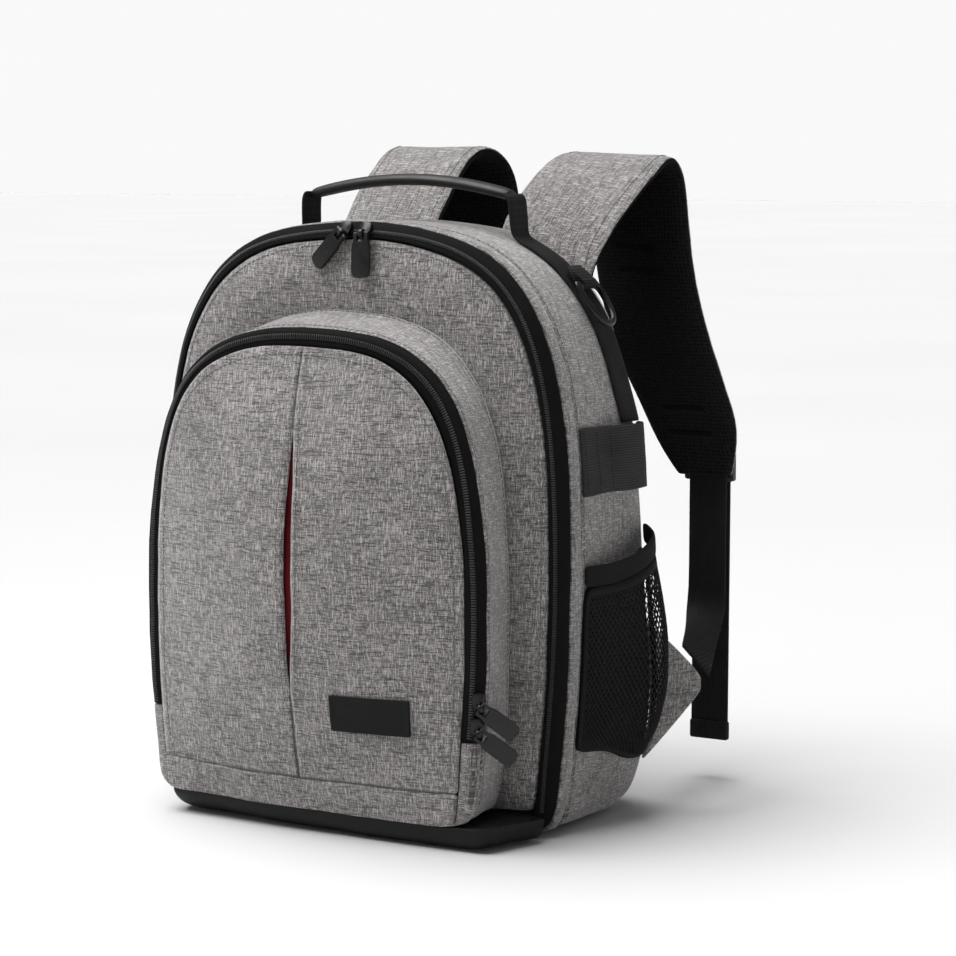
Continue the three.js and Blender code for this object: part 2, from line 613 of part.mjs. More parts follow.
// Pull in its own frame: the bar lies along X at the origin, and the pull hangs towards -Y.
function pullGeometry() {
  const half = PULL_WIDTH / 2;
  const eyeEnd = -PULL_BAR / 2 - PULL_EYE_LENGTH;
  const end = PULL_BAR / 2 - PULL_LENGTH;
  const plan = new THREE.Shape();
  const neck = PULL_EYE_WIDTH / 2 + PULL_BAR;
  plan.moveTo(-neck, 0);
  plan.lineTo(-neck, eyeEnd * 0.8);
  plan.lineTo(-half, eyeEnd * 1.6);
  plan.lineTo(-half, end + half * 0.8);
  plan.quadraticCurveTo(-half, end, 0, end);
  plan.quadraticCurveTo(half, end, half, end + half * 0.8);
  plan.lineTo(half, eyeEnd * 1.6);
  plan.lineTo(neck, eyeEnd * 0.8);
  plan.lineTo(neck, 0);
  const eye = new THREE.Path();
  eye.moveTo(-PULL_EYE_WIDTH / 2, PULL_BAR);
  eye.lineTo(-PULL_EYE_WIDTH / 2, eyeEnd);
  eye.lineTo(PULL_EYE_WIDTH / 2, eyeEnd);
  eye.lineTo(PULL_EYE_WIDTH / 2, PULL_BAR);
  const flat = { depth: PULL_THICKNESS, bevelEnabled: false, curveSegments: 4 };
  const blade = new THREE.ExtrudeGeometry(plan, flat).translate(0, 0, -PULL_THICKNESS / 2);
  const cut = new THREE.ExtrudeGeometry(
    new THREE.Shape(eye.getPoints()), { ...flat, depth: PULL_THICKNESS * 3 });
  cut.translate(0, 0, -PULL_THICKNESS * 1.5);
  const bar = new THREE.CylinderGeometry(PULL_BAR / 2, PULL_BAR / 2, neck * 2, 10).rotateZ(Math.PI / 2);
  return geometryOf(solidOf(blade).subtract(solidOf(cut)).add(solidOf(bar)));
}

// Slider and pull at a point of a zip. The tilt turns the pull sideways, and the droop turns it towards the fabric.
function addZipper(name, { at, out, down, tilt, droop = 0 }) {
  const group = new THREE.Group();
  const z = out.clone().normalize();
  const x = z.clone().cross(down).normalize();
  group.quaternion.setFromRotationMatrix(new THREE.Matrix4().makeBasis(x, z.clone().cross(x), z));
  group.position.copy(at).addScaledVector(z, CLEARANCE);
  backpack.add(group);
  add(name.replace("*", "slider"), sliderGeometry(tilt), DARK_METAL, group);
  const hanger = new THREE.Group();
  hanger.position.set(0, -BAR_OFFSET, BAR_AXIS);
  hanger.rotation.set(degToRad(droop), 0, tilt, "ZYX");
  group.add(hanger);
  add(name.replace("*", "pull"), pullGeometry(), DARK_METAL, hanger);
}

function buildZippers() {
  const [rear, front] = ZIP_TURNS.slice(1).map((turn) => ({
    inset: MAIN_ZIP_WIDTH * (1 - Math.cos(degToRad(turn))), forward: MAIN_ZIP_WIDTH * Math.sin(degToRad(turn)),
  }));
  const ridge = arch(bodyArch, (rear.inset + front.inset) / 2);
  const facetUp = front.forward - rear.forward;
  const facetForward = front.inset - rear.inset;
  const facetY = ZIP_REAR_Y - CLEARANCE - (rear.forward + front.forward) / 2;
  for (const [side, name] of BOTH_SIDES) {
    const x = MAIN_SLIDERS_X + (side * MAIN_SLIDER_SPREAD) / 2;
    const i = ridge.findIndex((p, j) => p.x <= x && j > ridge.length / 2 - FOOT_DIVISIONS - SIDE_DIVISIONS);
    const [a, b] = [ridge[i - 1], ridge[i]];
    const up = new THREE.Vector2(b.y - a.y, a.x - b.x).normalize();
    addZipper("main_*_" + name, {
      at: vec(x, facetY, mapLinear(x, a.x, b.x, a.y, b.y)),
      out: vec(up.x * facetUp, -facetForward, up.y * facetUp), down: vec(0, -facetUp, -facetForward),
      tilt: degToRad(side > 0 ? RIGHT_PULL_TILT : LEFT_PULL_TILT), droop: PULL_DROOP,
    });
  }
  const edge = pocketArch(1, ZIP_RIDGE.inset);
  for (const [level, name] of [[1, "upper"], [0, "lower"]]) {
    const z = POCKET_ZIP_END + POCKET_SLIDER_RISE + level * POCKET_SLIDER_SPREAD;
    addZipper("pocket_*_" + name, {
      at: vec(halfWidth(edge, z), lerp(POCKET_EDGE_Y - CLEARANCE, POCKET_FACE_Y, ZIP_RIDGE.forward), z),
      out: vec(1, -1, 0), down: vec(0, 0, -1), tilt: degToRad(POCKET_PULL_TILT),
    });
  }
}

// Grip of the handle: a padded tube between the two side webbings.
const GRIP_END_Z = BODY_HEIGHT + HANDLE_RISE;

function buildHandle() {
  const reach = HANDLE_LENGTH / 2;
  const stations = [
    { along: -1, fat: 0.7 }, { along: -0.96, fat: 1 }, { along: -0.66, fat: 1 }, { along: -0.33, fat: 1 },
    { along: 0, fat: 1 }, { along: 0.33, fat: 1 }, { along: 0.66, fat: 1 }, { along: 0.96, fat: 1 },
    { along: 1, fat: 0.7 },
  ];
  const sides = 10;
  const rings = stations.map(({ along, fat }) => Array.from({ length: sides }, (_, j) => {
    const turn = (2 * Math.PI * j) / sides;
    const middle = vec(along * reach, HANDLE_Y, GRIP_END_Z + HANDLE_ARCH * (1 - along ** 2));
    return middle.add(vec(0, (GRIP_DEPTH / 2) * fat * Math.cos(turn), (GRIP_HEIGHT / 2) * fat * Math.sin(turn)));
  }));
  add("handle_grip", loft(rings), BLACK_LEATHER);
}

// Route of a side webbing in the plane of the arch: out of the grip, down to the body, and over its shoulder.
function sideRoute() {
  const x = HANDLE_LENGTH / 2 + CLEARANCE;
  const lift = CLEARANCE + WEBBING_THICKNESS / 2;
  const end = ELASTIC_Z + ELASTIC_HEIGHT + CLEARANCE;
  const skin = rightArch(bodyArch, -lift);
  const [drop, bend] = [x + 4, x + 8];
  const shoulder = skin.filter((p) => p.y > end + 3 && p.x > bend + 2).reverse();
  return [
    { x, z: GRIP_END_Z }, { x: x + 1.5, z: GRIP_END_Z }, { x: x + 3.5, z: GRIP_END_Z - 2.5 },
    { x: drop, z: GRIP_END_Z - 8 }, { x: drop, z: crownHeight(skin, drop) + WEBBING_THICKNESS },
    { x: bend, z: crownHeight(skin, bend) }, ...shoulder.map((p) => ({ x: p.x, z: p.y })),
    { x: halfWidth(skin, end), z: end },
  ];
}

function sideWebbingY(z) {
  const down = clamp(mapLinear(z, BODY_HEIGHT, ELASTIC_Z + ELASTIC_HEIGHT, 0, 1), 0, 1);
  return HANDLE_Y + SIDE_WEBBING_LEAN * down;
}

function buildSideWebbing() {
  for (const [side, name] of BOTH_SIDES) {
    const stations = sideRoute().map(({ x, z }) => (
      { middle: vec(side * x, sideWebbingY(z), z), across: vec(0, 1, 0), width: SIDE_WEBBING_WIDTH }));
    add("side_webbing_" + name, ribbon(stations, flatStrip(WEBBING_THICKNESS)), BLACK_FABRIC);
  }
}

// Ring that lies on the right webbing, below a tab folded round its bar.
function buildRing() {
  const skin = rightArch(bodyArch, -CLEARANCE * 2 - WEBBING_THICKNESS);
  const i = skin.findIndex((p) => p.y >= RING_Z);
  const down = vec(skin[i - 1].x - skin[i].x, 0, skin[i - 1].y - skin[i].y).normalize();
  const out = vec(-down.z, 0, down.x);
  const group = new THREE.Group();
  group.quaternion.setFromRotationMatrix(new THREE.Matrix4().makeBasis(vec(0, 1, 0), down.clone().negate(), out));
  const hole = RING_WIRE / 2 + CLEARANCE;
  group.position.set(halfWidth(skin, RING_Z), sideWebbingY(RING_Z), RING_Z);
  group.position.addScaledVector(out, hole + RING_TAB_WALL);
  backpack.add(group);

  const section = new THREE.Shape();
  const round = hole + RING_TAB_WALL;
  section.moveTo(RING_TAB_HEIGHT, -round);
  section.lineTo(RING_TAB_HEIGHT, -round + RING_TAB_WALL * 1.6);
  section.lineTo(round, round * 0.8);
  section.absarc(0, 0, round, Math.PI * 0.3, Math.PI * 1.5);
  const bore = new THREE.Path();
  bore.absarc(0, 0, hole, 0, 2 * Math.PI);
  section.holes.push(bore);
  const tab = new THREE.ExtrudeGeometry(
    section, { depth: RING_TAB_WIDTH, bevelEnabled: false, curveSegments: 12 });
  tab.translate(0, 0, -RING_TAB_WIDTH / 2);
  tab.applyMatrix4(new THREE.Matrix4().makeBasis(vec(0, 1, 0), vec(0, 0, 1), vec(1, 0, 0)));
  add("ring_tab", tab, BLACK_FABRIC, group);

  const half = RING_WIDTH / 2;
  const bow = new THREE.Shape();
  bow.moveTo(-half, 0);
  bow.lineTo(-half, -RING_LENGTH * 0.35);
  bow.bezierCurveTo(-half, -RING_LENGTH * 0.8, -half * 0.5, -RING_LENGTH, 0, -RING_LENGTH);
  bow.bezierCurveTo(half * 0.5, -RING_LENGTH, half, -RING_LENGTH * 0.8, half, -RING_LENGTH * 0.35);
  bow.lineTo(half, 0);
  const path = bow.getPoints(4).map((p) => vec(p.x, p.y, 0));
  add("d_ring", closedWire(path, RING_WIRE, vec(0, 0, 1)), DARK_METAL, group);
}

// Heights of the arch's own corners between two heights, with both ends, so that a piece follows the facets.
const sideHeights = (low, high) => [
  low, ...rightArch(bodyArch).map((p) => p.y).filter((z) => z > low + 3 && z < high - 3), high];

// Points on a side of the body, lifted off it. Rows run up and columns run to the back.
const onSide = (side, rows, lift) => rows.map((row, i) => row.map(({ y, z }, j) => sag(vec(
  side * (bodySide(y, z) + CLEARANCE + SEAM_LIFT + lift(i, j)), y, z))));

function buildElastic() {
  const columns = [
    { flat: 0, round: 0, bulge: 0 }, { flat: 0.3, round: 0, bulge: 0.1 }, { flat: 0.5, round: 0, bulge: 0 },
    { flat: 0.7, round: 0, bulge: 0.7 }, { flat: 0.86, round: 0, bulge: 1 }, { flat: 1, round: 0, bulge: 0.95 },
    { flat: 1, round: 0.6, bulge: 0.75 }, { flat: 1, round: 1, bulge: 0 },
  ];
  const rows = sideHeights(ELASTIC_Z, ELASTIC_Z + ELASTIC_HEIGHT).map((z) => (
    columns.map((column) => ({ y: sideY(column), z }))));
  for (const [side, name] of BOTH_SIDES) {
    const layer = (depth) => onSide(side, rows, (i, j) => ELASTIC_BULGE * columns[j].bulge + depth);
    add("side_elastic_" + name, panel(layer(ELASTIC_THICKNESS), layer(0)), BLACK_FABRIC);
  }
}

// Net pocket: sewn to the side at its front, bottom and back, open at its bound top.
const netColumns = [
  { flat: 0, round: 0, bulge: 0, wave: 1, rise: 0 }, { flat: 0.14, round: 0, bulge: 0.3, wave: 0.95, rise: 0.01 },
  { flat: 0.33, round: 0, bulge: 0.6, wave: 0.85, rise: 0.05 },
  { flat: 0.54, round: 0, bulge: 0.85, wave: 0.6, rise: 0.15 },
  { flat: 0.77, round: 0, bulge: 1, wave: 0.1, rise: 0.35 }, { flat: 1, round: 0, bulge: 0.95, wave: 0, rise: 0.65 },
  { flat: 1, round: 0.5, bulge: 0.7, wave: 0.15, rise: 0.85 }, { flat: 1, round: 1, bulge: 0, wave: 0.3, rise: 1 },
];
const netRows = [
  { up: 0, bulge: 0 }, { up: 0.08, bulge: 0.42 }, { up: 0.2, bulge: 0.75 }, { up: 0.38, bulge: 0.95 },
  { up: 0.6, bulge: 1 }, { up: 0.8, bulge: 0.9 }, { up: 1, bulge: 0.64 },
];

function buildNetPockets() {
  const top = (column) => NET_TOP + NET_TOP_SLOPE * column.rise;
  const rows = netRows.map(({ up }) => netColumns.map((column) => (
    { y: sideY(column), z: lerp(NET_BOTTOM + NET_WAVE * column.wave, top(column), up) })));
  const band = [0, 1].map((up) => netColumns.map((column) => (
    { y: sideY(column), z: top(column) + CLEARANCE + BINDING_HEIGHT * up })));
  for (const [side, name] of BOTH_SIDES) {
    const net = (depth) => onSide(
      side, rows, (i, j) => NET_BULGE * netRows[i].bulge * netColumns[j].bulge + depth);
    add("net_pocket_" + name, panel(net(NET_THICKNESS), net(0)), BLACK_MESH);
    const mouth = NET_BULGE * netRows.at(-1).bulge;
    const binding = (depth) => onSide(side, band, (i, j) => mouth * netColumns[j].bulge + depth);
    add("net_binding_" + name, panel(binding(BINDING_THICKNESS), binding(0)), BLACK_FABRIC);
  }
}

// Runs of the shoulder straps from the back panel up and over, as shares of the strap's sizes. The roll turns the
// strap's inner edge up and the yaw turns it to the back, in degrees.
const rightRise = [
  { back: 0, up: 0, splay: 0, roll: 18 }, { back: 0, up: 0.18, splay: 0, roll: 18 },
  { back: 0.05, up: 0.37, splay: 0.01, roll: 18 }, { back: 0.3, up: 0.63, splay: 0.04, roll: 16 },
  { back: 0.51, up: 0.79, splay: 0.065, roll: 15 }, { back: 0.69, up: 0.91, splay: 0.09, roll: 11 },
  { back: 0.83, up: 0.99, splay: 0.12, roll: 4 }, { back: 0.92, up: 0.99, splay: 0.13, roll: 1 },
  { back: 0.98, up: 0.92, splay: 0.15 }, { back: 1, up: 0.77, splay: 0.18 },
  { back: 0.985, up: 0.3, splay: 0.25 }, { back: 0.965, up: 0.07, splay: 0.31 },
];
const leftRise = [
  { back: 0, up: 0, splay: 0 }, { back: 0, up: 0.14, splay: 0 },
  { back: 0.04, up: 0.31, splay: 0 }, { back: 0.16, up: 0.48, splay: 0.01 },
  { back: 0.36, up: 0.73, splay: 0.02 }, { back: 0.52, up: 0.89, splay: 0.02 },
  { back: 0.69, up: 1.03, splay: 0.01 }, { back: 0.79, up: 1.05, splay: -0.02, yaw: 5 },
  { back: 0.87, up: 1, splay: -0.07, yaw: 14 }, { back: 0.91, up: 0.87, splay: -0.15, yaw: 22 },
  { back: 0.92, up: 0.62, splay: -0.22, yaw: 25 }, { back: 0.93, up: 0.32, splay: -0.07, yaw: 15 },
  { back: 0.93, up: 0.07, splay: 0.13, yaw: 6 },
];
const hangingRun = [
  { back: 0.945, down: 0.07, splay: 0.4 }, { back: 0.925, down: 0.17, splay: 0.5 },
  { back: 0.915, down: 0.26, splay: 0.6 }, { back: 0.905, down: 0.355, splay: 0.74, wide: 0.93 },
  { back: 0.885, down: 0.43, splay: 0.845, wide: 0.88 }, { back: 0.885, down: 0.52, splay: 0.916, wide: 0.72 },
  { back: 0.885, down: 0.595, splay: 0.98, wide: 0.5 },
];
const STRAP_THICKNESS = STRAP_COVER_THICKNESS + CLEARANCE + STRAP_PADDING_THICKNESS;
const BACK_FACE_Y = BACK_RIM.y + CLEARANCE + BACK_PANEL_THICKNESS;
const STRAP_START_Y = BACK_FACE_Y + CLEARANCE + STRAP_THICKNESS / 2;

const strapPoint = ({ back, up = 0, down = 0, splay }) => vec(
  STRAP_BASE_X + STRAP_SPLAY * splay, STRAP_START_Y + STRAP_REACH * back,
  STRAP_BASE_Z + STRAP_RISE * up - STRAP_DROP * down);

const mirrored = (point, side) => vec(point.x * side, point.y, point.z);

function buildStraps() {
  const outer = STRAP_THICKNESS / 2;
  const seam = outer - STRAP_COVER_THICKNESS;
  const crown = [
    { across: -1, fill: 0.35 }, { across: -0.9, fill: 0.85 }, { across: -0.5, fill: 1 },
    { across: 0.5, fill: 1 }, { across: 0.9, fill: 0.85 }, { across: 1, fill: 0.35 },
  ];
  const cover = crown.map(({ across, fill }) => ({ across, high: seam + STRAP_COVER_THICKNESS * fill, low: seam }));
  const padding = crown.map(({ across, fill }) => (
    { across, high: seam - CLEARANCE, low: seam - CLEARANCE - STRAP_PADDING_THICKNESS * fill }));
  for (const [side, name] of BOTH_SIDES) {
    const run = [...(side > 0 ? rightRise : leftRise), ...hangingRun];
    const stations = run.map((row) => {
      const across = vec(1, 0, 0).applyAxisAngle(vec(0, 1, 0), degToRad(row.roll ?? 0));
      across.applyAxisAngle(vec(0, 0, 1), degToRad(row.yaw ?? 0));
      return { middle: mirrored(strapPoint(row), side), across, width: STRAP_WIDTH * (row.wide ?? 1) };
    });
    add("strap_cover_" + name, ribbon(stations, cover), GREY);
    add("strap_padding_" + name, ribbon(stations, padding), BLACK_MESH);
  }
}

// Lock behind each strap's end. The strap's webbing comes up in front of it, turns over its lower bar and hangs down.
const STRAP_END = strapPoint(hangingRun.at(-1));
const LOCK_FRONT_Y = STRAP_END.y + STRAP_THICKNESS / 2 + CLEARANCE * 2 + WEBBING_THICKNESS;
const LOCK_LOW_Z = STRAP_END.z + LOCK_OVERLAP - LOCK_HEIGHT;
const LOCK_Y = LOCK_FRONT_Y + LOCK_THICKNESS / 2;
const TURN_RADIUS = LOCK_THICKNESS / 2 + CLEARANCE + WEBBING_THICKNESS / 2;

function buildLocks() {
  const half = LOCK_WIDTH / 2;
  const slotHalf = half - LOCK_BAR;
  const slotHeight = (LOCK_HEIGHT - LOCK_BAR * 3) / 2;
  for (const [side, name] of BOTH_SIDES) {
    const plate = new THREE.Shape();
    plate.moveTo(-half, LOCK_BAR / 2);
    plate.quadraticCurveTo(-half, 0, -half + LOCK_BAR / 2, 0);
    plate.lineTo(half - LOCK_BAR / 2, 0);
    plate.quadraticCurveTo(half, 0, half, LOCK_BAR / 2);
    plate.lineTo(half, LOCK_HEIGHT - LOCK_BAR / 2);
    plate.quadraticCurveTo(half, LOCK_HEIGHT, half - LOCK_BAR / 2, LOCK_HEIGHT);
    plate.lineTo(-half + LOCK_BAR / 2, LOCK_HEIGHT);
    plate.quadraticCurveTo(-half, LOCK_HEIGHT, -half, LOCK_HEIGHT - LOCK_BAR / 2);
    for (const level of [0, 1]) {
      const low = LOCK_BAR + level * (slotHeight + LOCK_BAR);
      const slot = new THREE.Path();
      slot.moveTo(-slotHalf, low);
      slot.lineTo(slotHalf, low);
      slot.lineTo(slotHalf, low + slotHeight);
      slot.lineTo(-slotHalf, low + slotHeight);
      plate.holes.push(slot);
    }
    const lock = new THREE.ExtrudeGeometry(
      plate, { depth: LOCK_THICKNESS, bevelEnabled: false, curveSegments: 2 });
    lock.rotateX(Math.PI / 2).translate(side * STRAP_END.x, LOCK_FRONT_Y + LOCK_THICKNESS, LOCK_LOW_Z);
    add("strap_lock_" + name, lock, DARK_PLASTIC);
  }
}

// Half turn of webbing over or under a bar of the lock, from its front to its back.
function barTurn(z, way) {
  const steps = 6;
  return Array.from({ length: steps + 1 }, (_, i) => {
    const turn = (Math.PI * i) / steps;
    return vec(STRAP_END.x, LOCK_Y - TURN_RADIUS * Math.cos(turn), z + way * TURN_RADIUS * Math.sin(turn));
  });
}

// Anchor tab at the body's foot: a cloth triangle that points out and back.
const ANCHOR_OUT = vec(Math.cos(degToRad(ANCHOR_ANGLE)), Math.sin(degToRad(ANCHOR_ANGLE)), 0);
const ANCHOR_ROOT_Y = SIDE_BACK_Y + 9;
const ANCHOR_TIP = sag(vec(bodySide(ANCHOR_ROOT_Y, ANCHOR_Z), ANCHOR_ROOT_Y, ANCHOR_Z))
  .addScaledVector(ANCHOR_OUT, ANCHOR_LENGTH);

function buildAnchors() {
  const columns = [
    { out: 0, up: 0.5, down: 0.5 }, { out: 0.5, up: 0.3, down: 0.27 }, { out: 1, up: 0.06, down: 0.06 },
  ];
  const thick = ANCHOR_OUT.clone().cross(vec(0, 0, 1)).setLength(ANCHOR_THICKNESS / 2);
  for (const [side, name] of BOTH_SIDES) {
    const face = (way) => columns.map(({ out, up, down }) => [0, 0.25, 0.5, 0.75, 1].map((share) => {
      const z = ANCHOR_Z + ANCHOR_HEIGHT * lerp(up, -down, share);
      const skin = bodySide(ANCHOR_ROOT_Y, z) + CLEARANCE + SEAM_LIFT;
      const root = sag(vec(skin + ANCHOR_THICKNESS / 2, ANCHOR_ROOT_Y, z));
      const point = root.lerp(vec(ANCHOR_TIP.x, ANCHOR_TIP.y, z), out).addScaledVector(thick, way);
      return mirrored(point, side);
    }));
    add("strap_anchor_" + name, panel(face(1), face(-1)), GREY);
  }
}

function buildStrapWebbing() {
  const front = LOCK_Y - TURN_RADIUS;
  const behind = LOCK_Y + TURN_RADIUS;
  const barZ = LOCK_LOW_Z + LOCK_BAR / 2 + CLEARANCE * 4;
  const x = STRAP_END.x;
  const start = ANCHOR_TIP.clone().add(vec(-3, 0, 15));
  const onTheWay = (over, back, up) => vec(lerp(start.x, x, over), lerp(start.y, front, back), start.z + up);
  const rise = [
    { middle: start, across: vec(0.55, 0.35, -0.75), wide: 1 },
    { middle: onTheWay(0.3, 0.3, 8), across: vec(0.65, 0.6, -0.45), wide: 0.85 },
    { middle: onTheWay(0.65, 0.65, 15), across: vec(0.85, 0.5, -0.15), wide: 0.85 },
    { middle: onTheWay(0.95, 0.93, 24), across: vec(1, 0.15, 0), wide: 1 },
    { middle: onTheWay(1, 1, 36), across: vec(1, 0, 0), wide: 1 },
    { middle: vec(x, front, lerp(start.z, barZ, 0.6)), across: vec(1, 0, 0), wide: 1 },
  ];
  const turn = barTurn(barZ, 1).map((middle) => ({ middle, across: vec(1, 0, 0), wide: 1 }));
  const fall = [0.3, 0.6, 0.85, 1].map((share) => (
    { middle: vec(x, behind - share, lerp(barZ, FREE_END_Z, share)), across: vec(1, 0, 0), wide: 1 }));
  for (const [side, name] of BOTH_SIDES) {
    const stations = [...rise, ...turn, ...fall].map(({ middle, across, wide }) => ({
      middle: mirrored(middle, side), across: vec(across.x, across.y * side, across.z * side),
      width: STRAP_WEBBING_WIDTH * wide,
    }));
    add("strap_webbing_" + name, ribbon(stations, flatStrip(WEBBING_THICKNESS)), BLACK_FABRIC);

    const topBar = LOCK_LOW_Z + LOCK_HEIGHT - LOCK_BAR / 2 - CLEARANCE * 4;
    const lockTop = LOCK_LOW_Z + LOCK_HEIGHT;
    const keeper = [
      vec(x, front, topBar + KEEPER_LENGTH), ...barTurn(topBar, -1), vec(x, behind, lockTop),
      vec(x, front + WEBBING_THICKNESS + CLEARANCE, lockTop + LOCK_THICKNESS * 2),
      vec(x, front + WEBBING_THICKNESS + CLEARANCE, topBar + KEEPER_LENGTH),
    ].map((middle) => ({ middle: mirrored(middle, side), across: vec(1, 0, 0), width: STRAP_WEBBING_WIDTH }));
    add("lock_keeper_" + name, ribbon(keeper, flatStrip(WEBBING_THICKNESS)), BLACK_FABRIC);
  }
}

buildBody();
buildPocket();
buildTray();
buildZippers();
buildHandle();
buildSideWebbing();
buildRing();
buildElastic();
buildNetPockets();
buildStraps();
buildLocks();
buildAnchors();
buildStrapWebbing();

export default backpack;
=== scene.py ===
"""A grey camera backpack on a pale studio floor. Lengths are in millimetres, and become metres in the meshes."""
import math

import bmesh
import bpy
import numpy as np
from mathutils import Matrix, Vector, noise
from mathutils.bvhtree import BVHTree


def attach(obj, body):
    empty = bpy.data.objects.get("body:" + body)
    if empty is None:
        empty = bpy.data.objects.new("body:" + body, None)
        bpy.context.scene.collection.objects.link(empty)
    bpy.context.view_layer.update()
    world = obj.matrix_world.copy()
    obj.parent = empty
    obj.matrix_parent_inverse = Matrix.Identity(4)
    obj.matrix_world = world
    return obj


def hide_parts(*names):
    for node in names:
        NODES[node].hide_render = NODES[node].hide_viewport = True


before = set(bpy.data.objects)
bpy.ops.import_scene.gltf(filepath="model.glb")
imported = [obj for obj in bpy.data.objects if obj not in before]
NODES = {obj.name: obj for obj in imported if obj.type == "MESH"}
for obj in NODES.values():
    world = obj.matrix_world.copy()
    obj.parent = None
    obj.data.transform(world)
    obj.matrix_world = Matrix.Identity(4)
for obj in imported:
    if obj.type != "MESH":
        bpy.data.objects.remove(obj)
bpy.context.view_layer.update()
MM = 0.001
SIDES = ((1, "right"), (-1, "left"))
noise.seed_set(7)

# Body and pocket arches, and the pocket's face, in millimetres.
BODY_ARCH = {"width": 314, "height": 388, "foot_width": 296, "foot_radius": 22, "waist": 170}
POCKET_WIDTHS = (244, 260)
POCKET_HEIGHTS = (332, 323)
POCKET_FOOT = 16.3
POCKET_FACE_Y = -113.3
POCKET_BULGE = 23
ZIP_WIDTH = 12
HEM_TOP = 37
SLIT_LOW = 92
SLIT_HIGH = 260
SLIT_WIDTH = 5.5
CORNER_BACK_Y = -105.6
CORNER_TOP = 69.6
PATCH_MIDDLE = (57, 83)
PATCH_HALVES = (27, 11.5)
CHANNELS_ALONG = (-42, 42)
CHANNELS_ACROSS = (105, 205, 305)

# Middle lines of the shoulder straps, from the back panel over the top and down, in millimetres.
HANGING_RUN = [
    (97, 165.7, 325), (104.5, 163.8, 303.5), (112, 162.8, 284), (123, 161.8, 263.7), (131, 159.9, 247.6),
    (136.5, 159.9, 228.2), (141.5, 159.9, 212),
]
STRAP_LINES = {
    "right": [
        (66, 73.6, 340), (66, 73.6, 355.7), (67, 78.5, 372.2), (69, 102.9, 394.8), (71, 123.3, 408.7),
        (73, 140.9, 419.2), (75, 154.5, 426.1), (76, 163.3, 426.1), (77.5, 169.2, 420), (80, 171.1, 407),
        (85, 169.6, 366.1), (90, 167.7, 346.1), *HANGING_RUN,
    ],
    "left": [
        (66, 73.6, 340), (66, 73.6, 352.2), (66, 77.5, 367), (67, 89.2, 381.8), (67.5, 108.7, 403.5),
        (67.5, 124.3, 417.4), (67, 140.9, 429.6), (64.5, 150.6, 431.4), (60.6, 158.4, 427), (54.5, 162.3, 415.7),
        (49, 163.3, 393.9), (60.6, 164.3, 367.8), (76, 164.3, 346.1), *HANGING_RUN,
    ],
}


def between(start, end, share):
    return start + (end - start) * share


def bezier(points, steps):
    """Points of a curve with these control points, in a plane."""
    line = []
    for i in range(steps + 1):
        row = [np.array(p, float) for p in points]
        while len(row) > 1:
            row = [between(a, b, i / steps) for a, b in zip(row, row[1:])]
        line.append(row[0])
    return line


def right_arch(width, height, foot_width, foot_radius, waist, bottom=0, inset=0):
    """Right half of an arch, from its foot up to the middle of its crown, as (x, z)."""
    half, foot, top, low = width / 2 - inset, foot_width / 2 - inset, height - inset, bottom + inset
    radius = max(foot_radius - inset, foot_radius / 4)
    rise = waist - low - radius
    corner = bezier([(foot - radius, low), (foot, low), (foot, low + radius)], 6)
    side = bezier([(foot, low + radius), (between(foot, half, 0.5), low + radius + rise * 0.4),
                   (half, waist - rise * 0.4), (half, waist)], 30)
    shoulder = bezier([(half, waist), (half, between(waist, top, 0.755)), (half * 0.83, top), (0, top)], 60)
    return np.array(corner + side[1:] + shoulder[1:])


def pocket_arch(share, inset):
    width = between(*POCKET_WIDTHS, share)
    return right_arch(width, between(*POCKET_HEIGHTS, share), width * 0.95, 18, 136, POCKET_FOOT - inset, inset)


def over_the_top(right, depth, lowest):
    """An arch from its right foot over the crown to its left foot, above a height, as points in space."""
    kept = [p for p in right if p[1] >= lowest]
    return np.array([(x, depth, z) for x, z in kept] + [(-x, depth, z) for x, z in kept[-2::-1]])


def pocket_face(x, z):
    """Depth of the pocket's swollen face."""
    across = max(0.0, 1 - (x / (POCKET_WIDTHS[1] / 2 - ZIP_WIDTH)) ** 2)
    up = 0.04 + 0.94 * (z - POCKET_FOOT) / (POCKET_HEIGHTS[1] - ZIP_WIDTH - POCKET_FOOT)
    return POCKET_FACE_Y - POCKET_BULGE * across * (1 - abs(min(max(up, 0), 1) * 2 - 1) ** 2.2)


def slit_half(z):
    """Half width of the pleat's slit at a height."""
    share = min(max((z - SLIT_LOW) / (SLIT_HIGH - SLIT_LOW), 0), 1)
    return 2 * share * (1 - share) * SLIT_WIDTH


# Shader helpers.

def wire(tree, kind, inputs=None, **settings):
    """A shader node with its settings, and with its inputs set or linked."""
    made = tree.nodes.new("ShaderNode" + kind)
    for name, value in settings.items():
        setattr(made, name, value)
    for socket, value in (inputs or {}).items():
        if isinstance(value, bpy.types.NodeSocket):
            tree.links.new(value, made.inputs[socket])
        else:
            made.inputs[socket].default_value = value
    return made


def math_node(tree, operation, first, second=0.0):
    return wire(tree, "Math", {0: first, 1: second}, operation=operation).outputs[0]


def spread(tree, value, low, high, to_low=0.0, to_high=1.0):
    return wire(tree, "MapRange", {
        "Value": value, "From Min": low, "From Max": high, "To Min": to_low, "To Max": to_high}).outputs["Result"]


def blend_colour(tree, factor, first, second):
    return wire(tree, "Mix", {0: factor, 6: first, 7: second}, data_type="RGBA").outputs[2]


def grey(level, warm=1.0):
    return (level * warm, level, level / warm ** 0.4, 1)


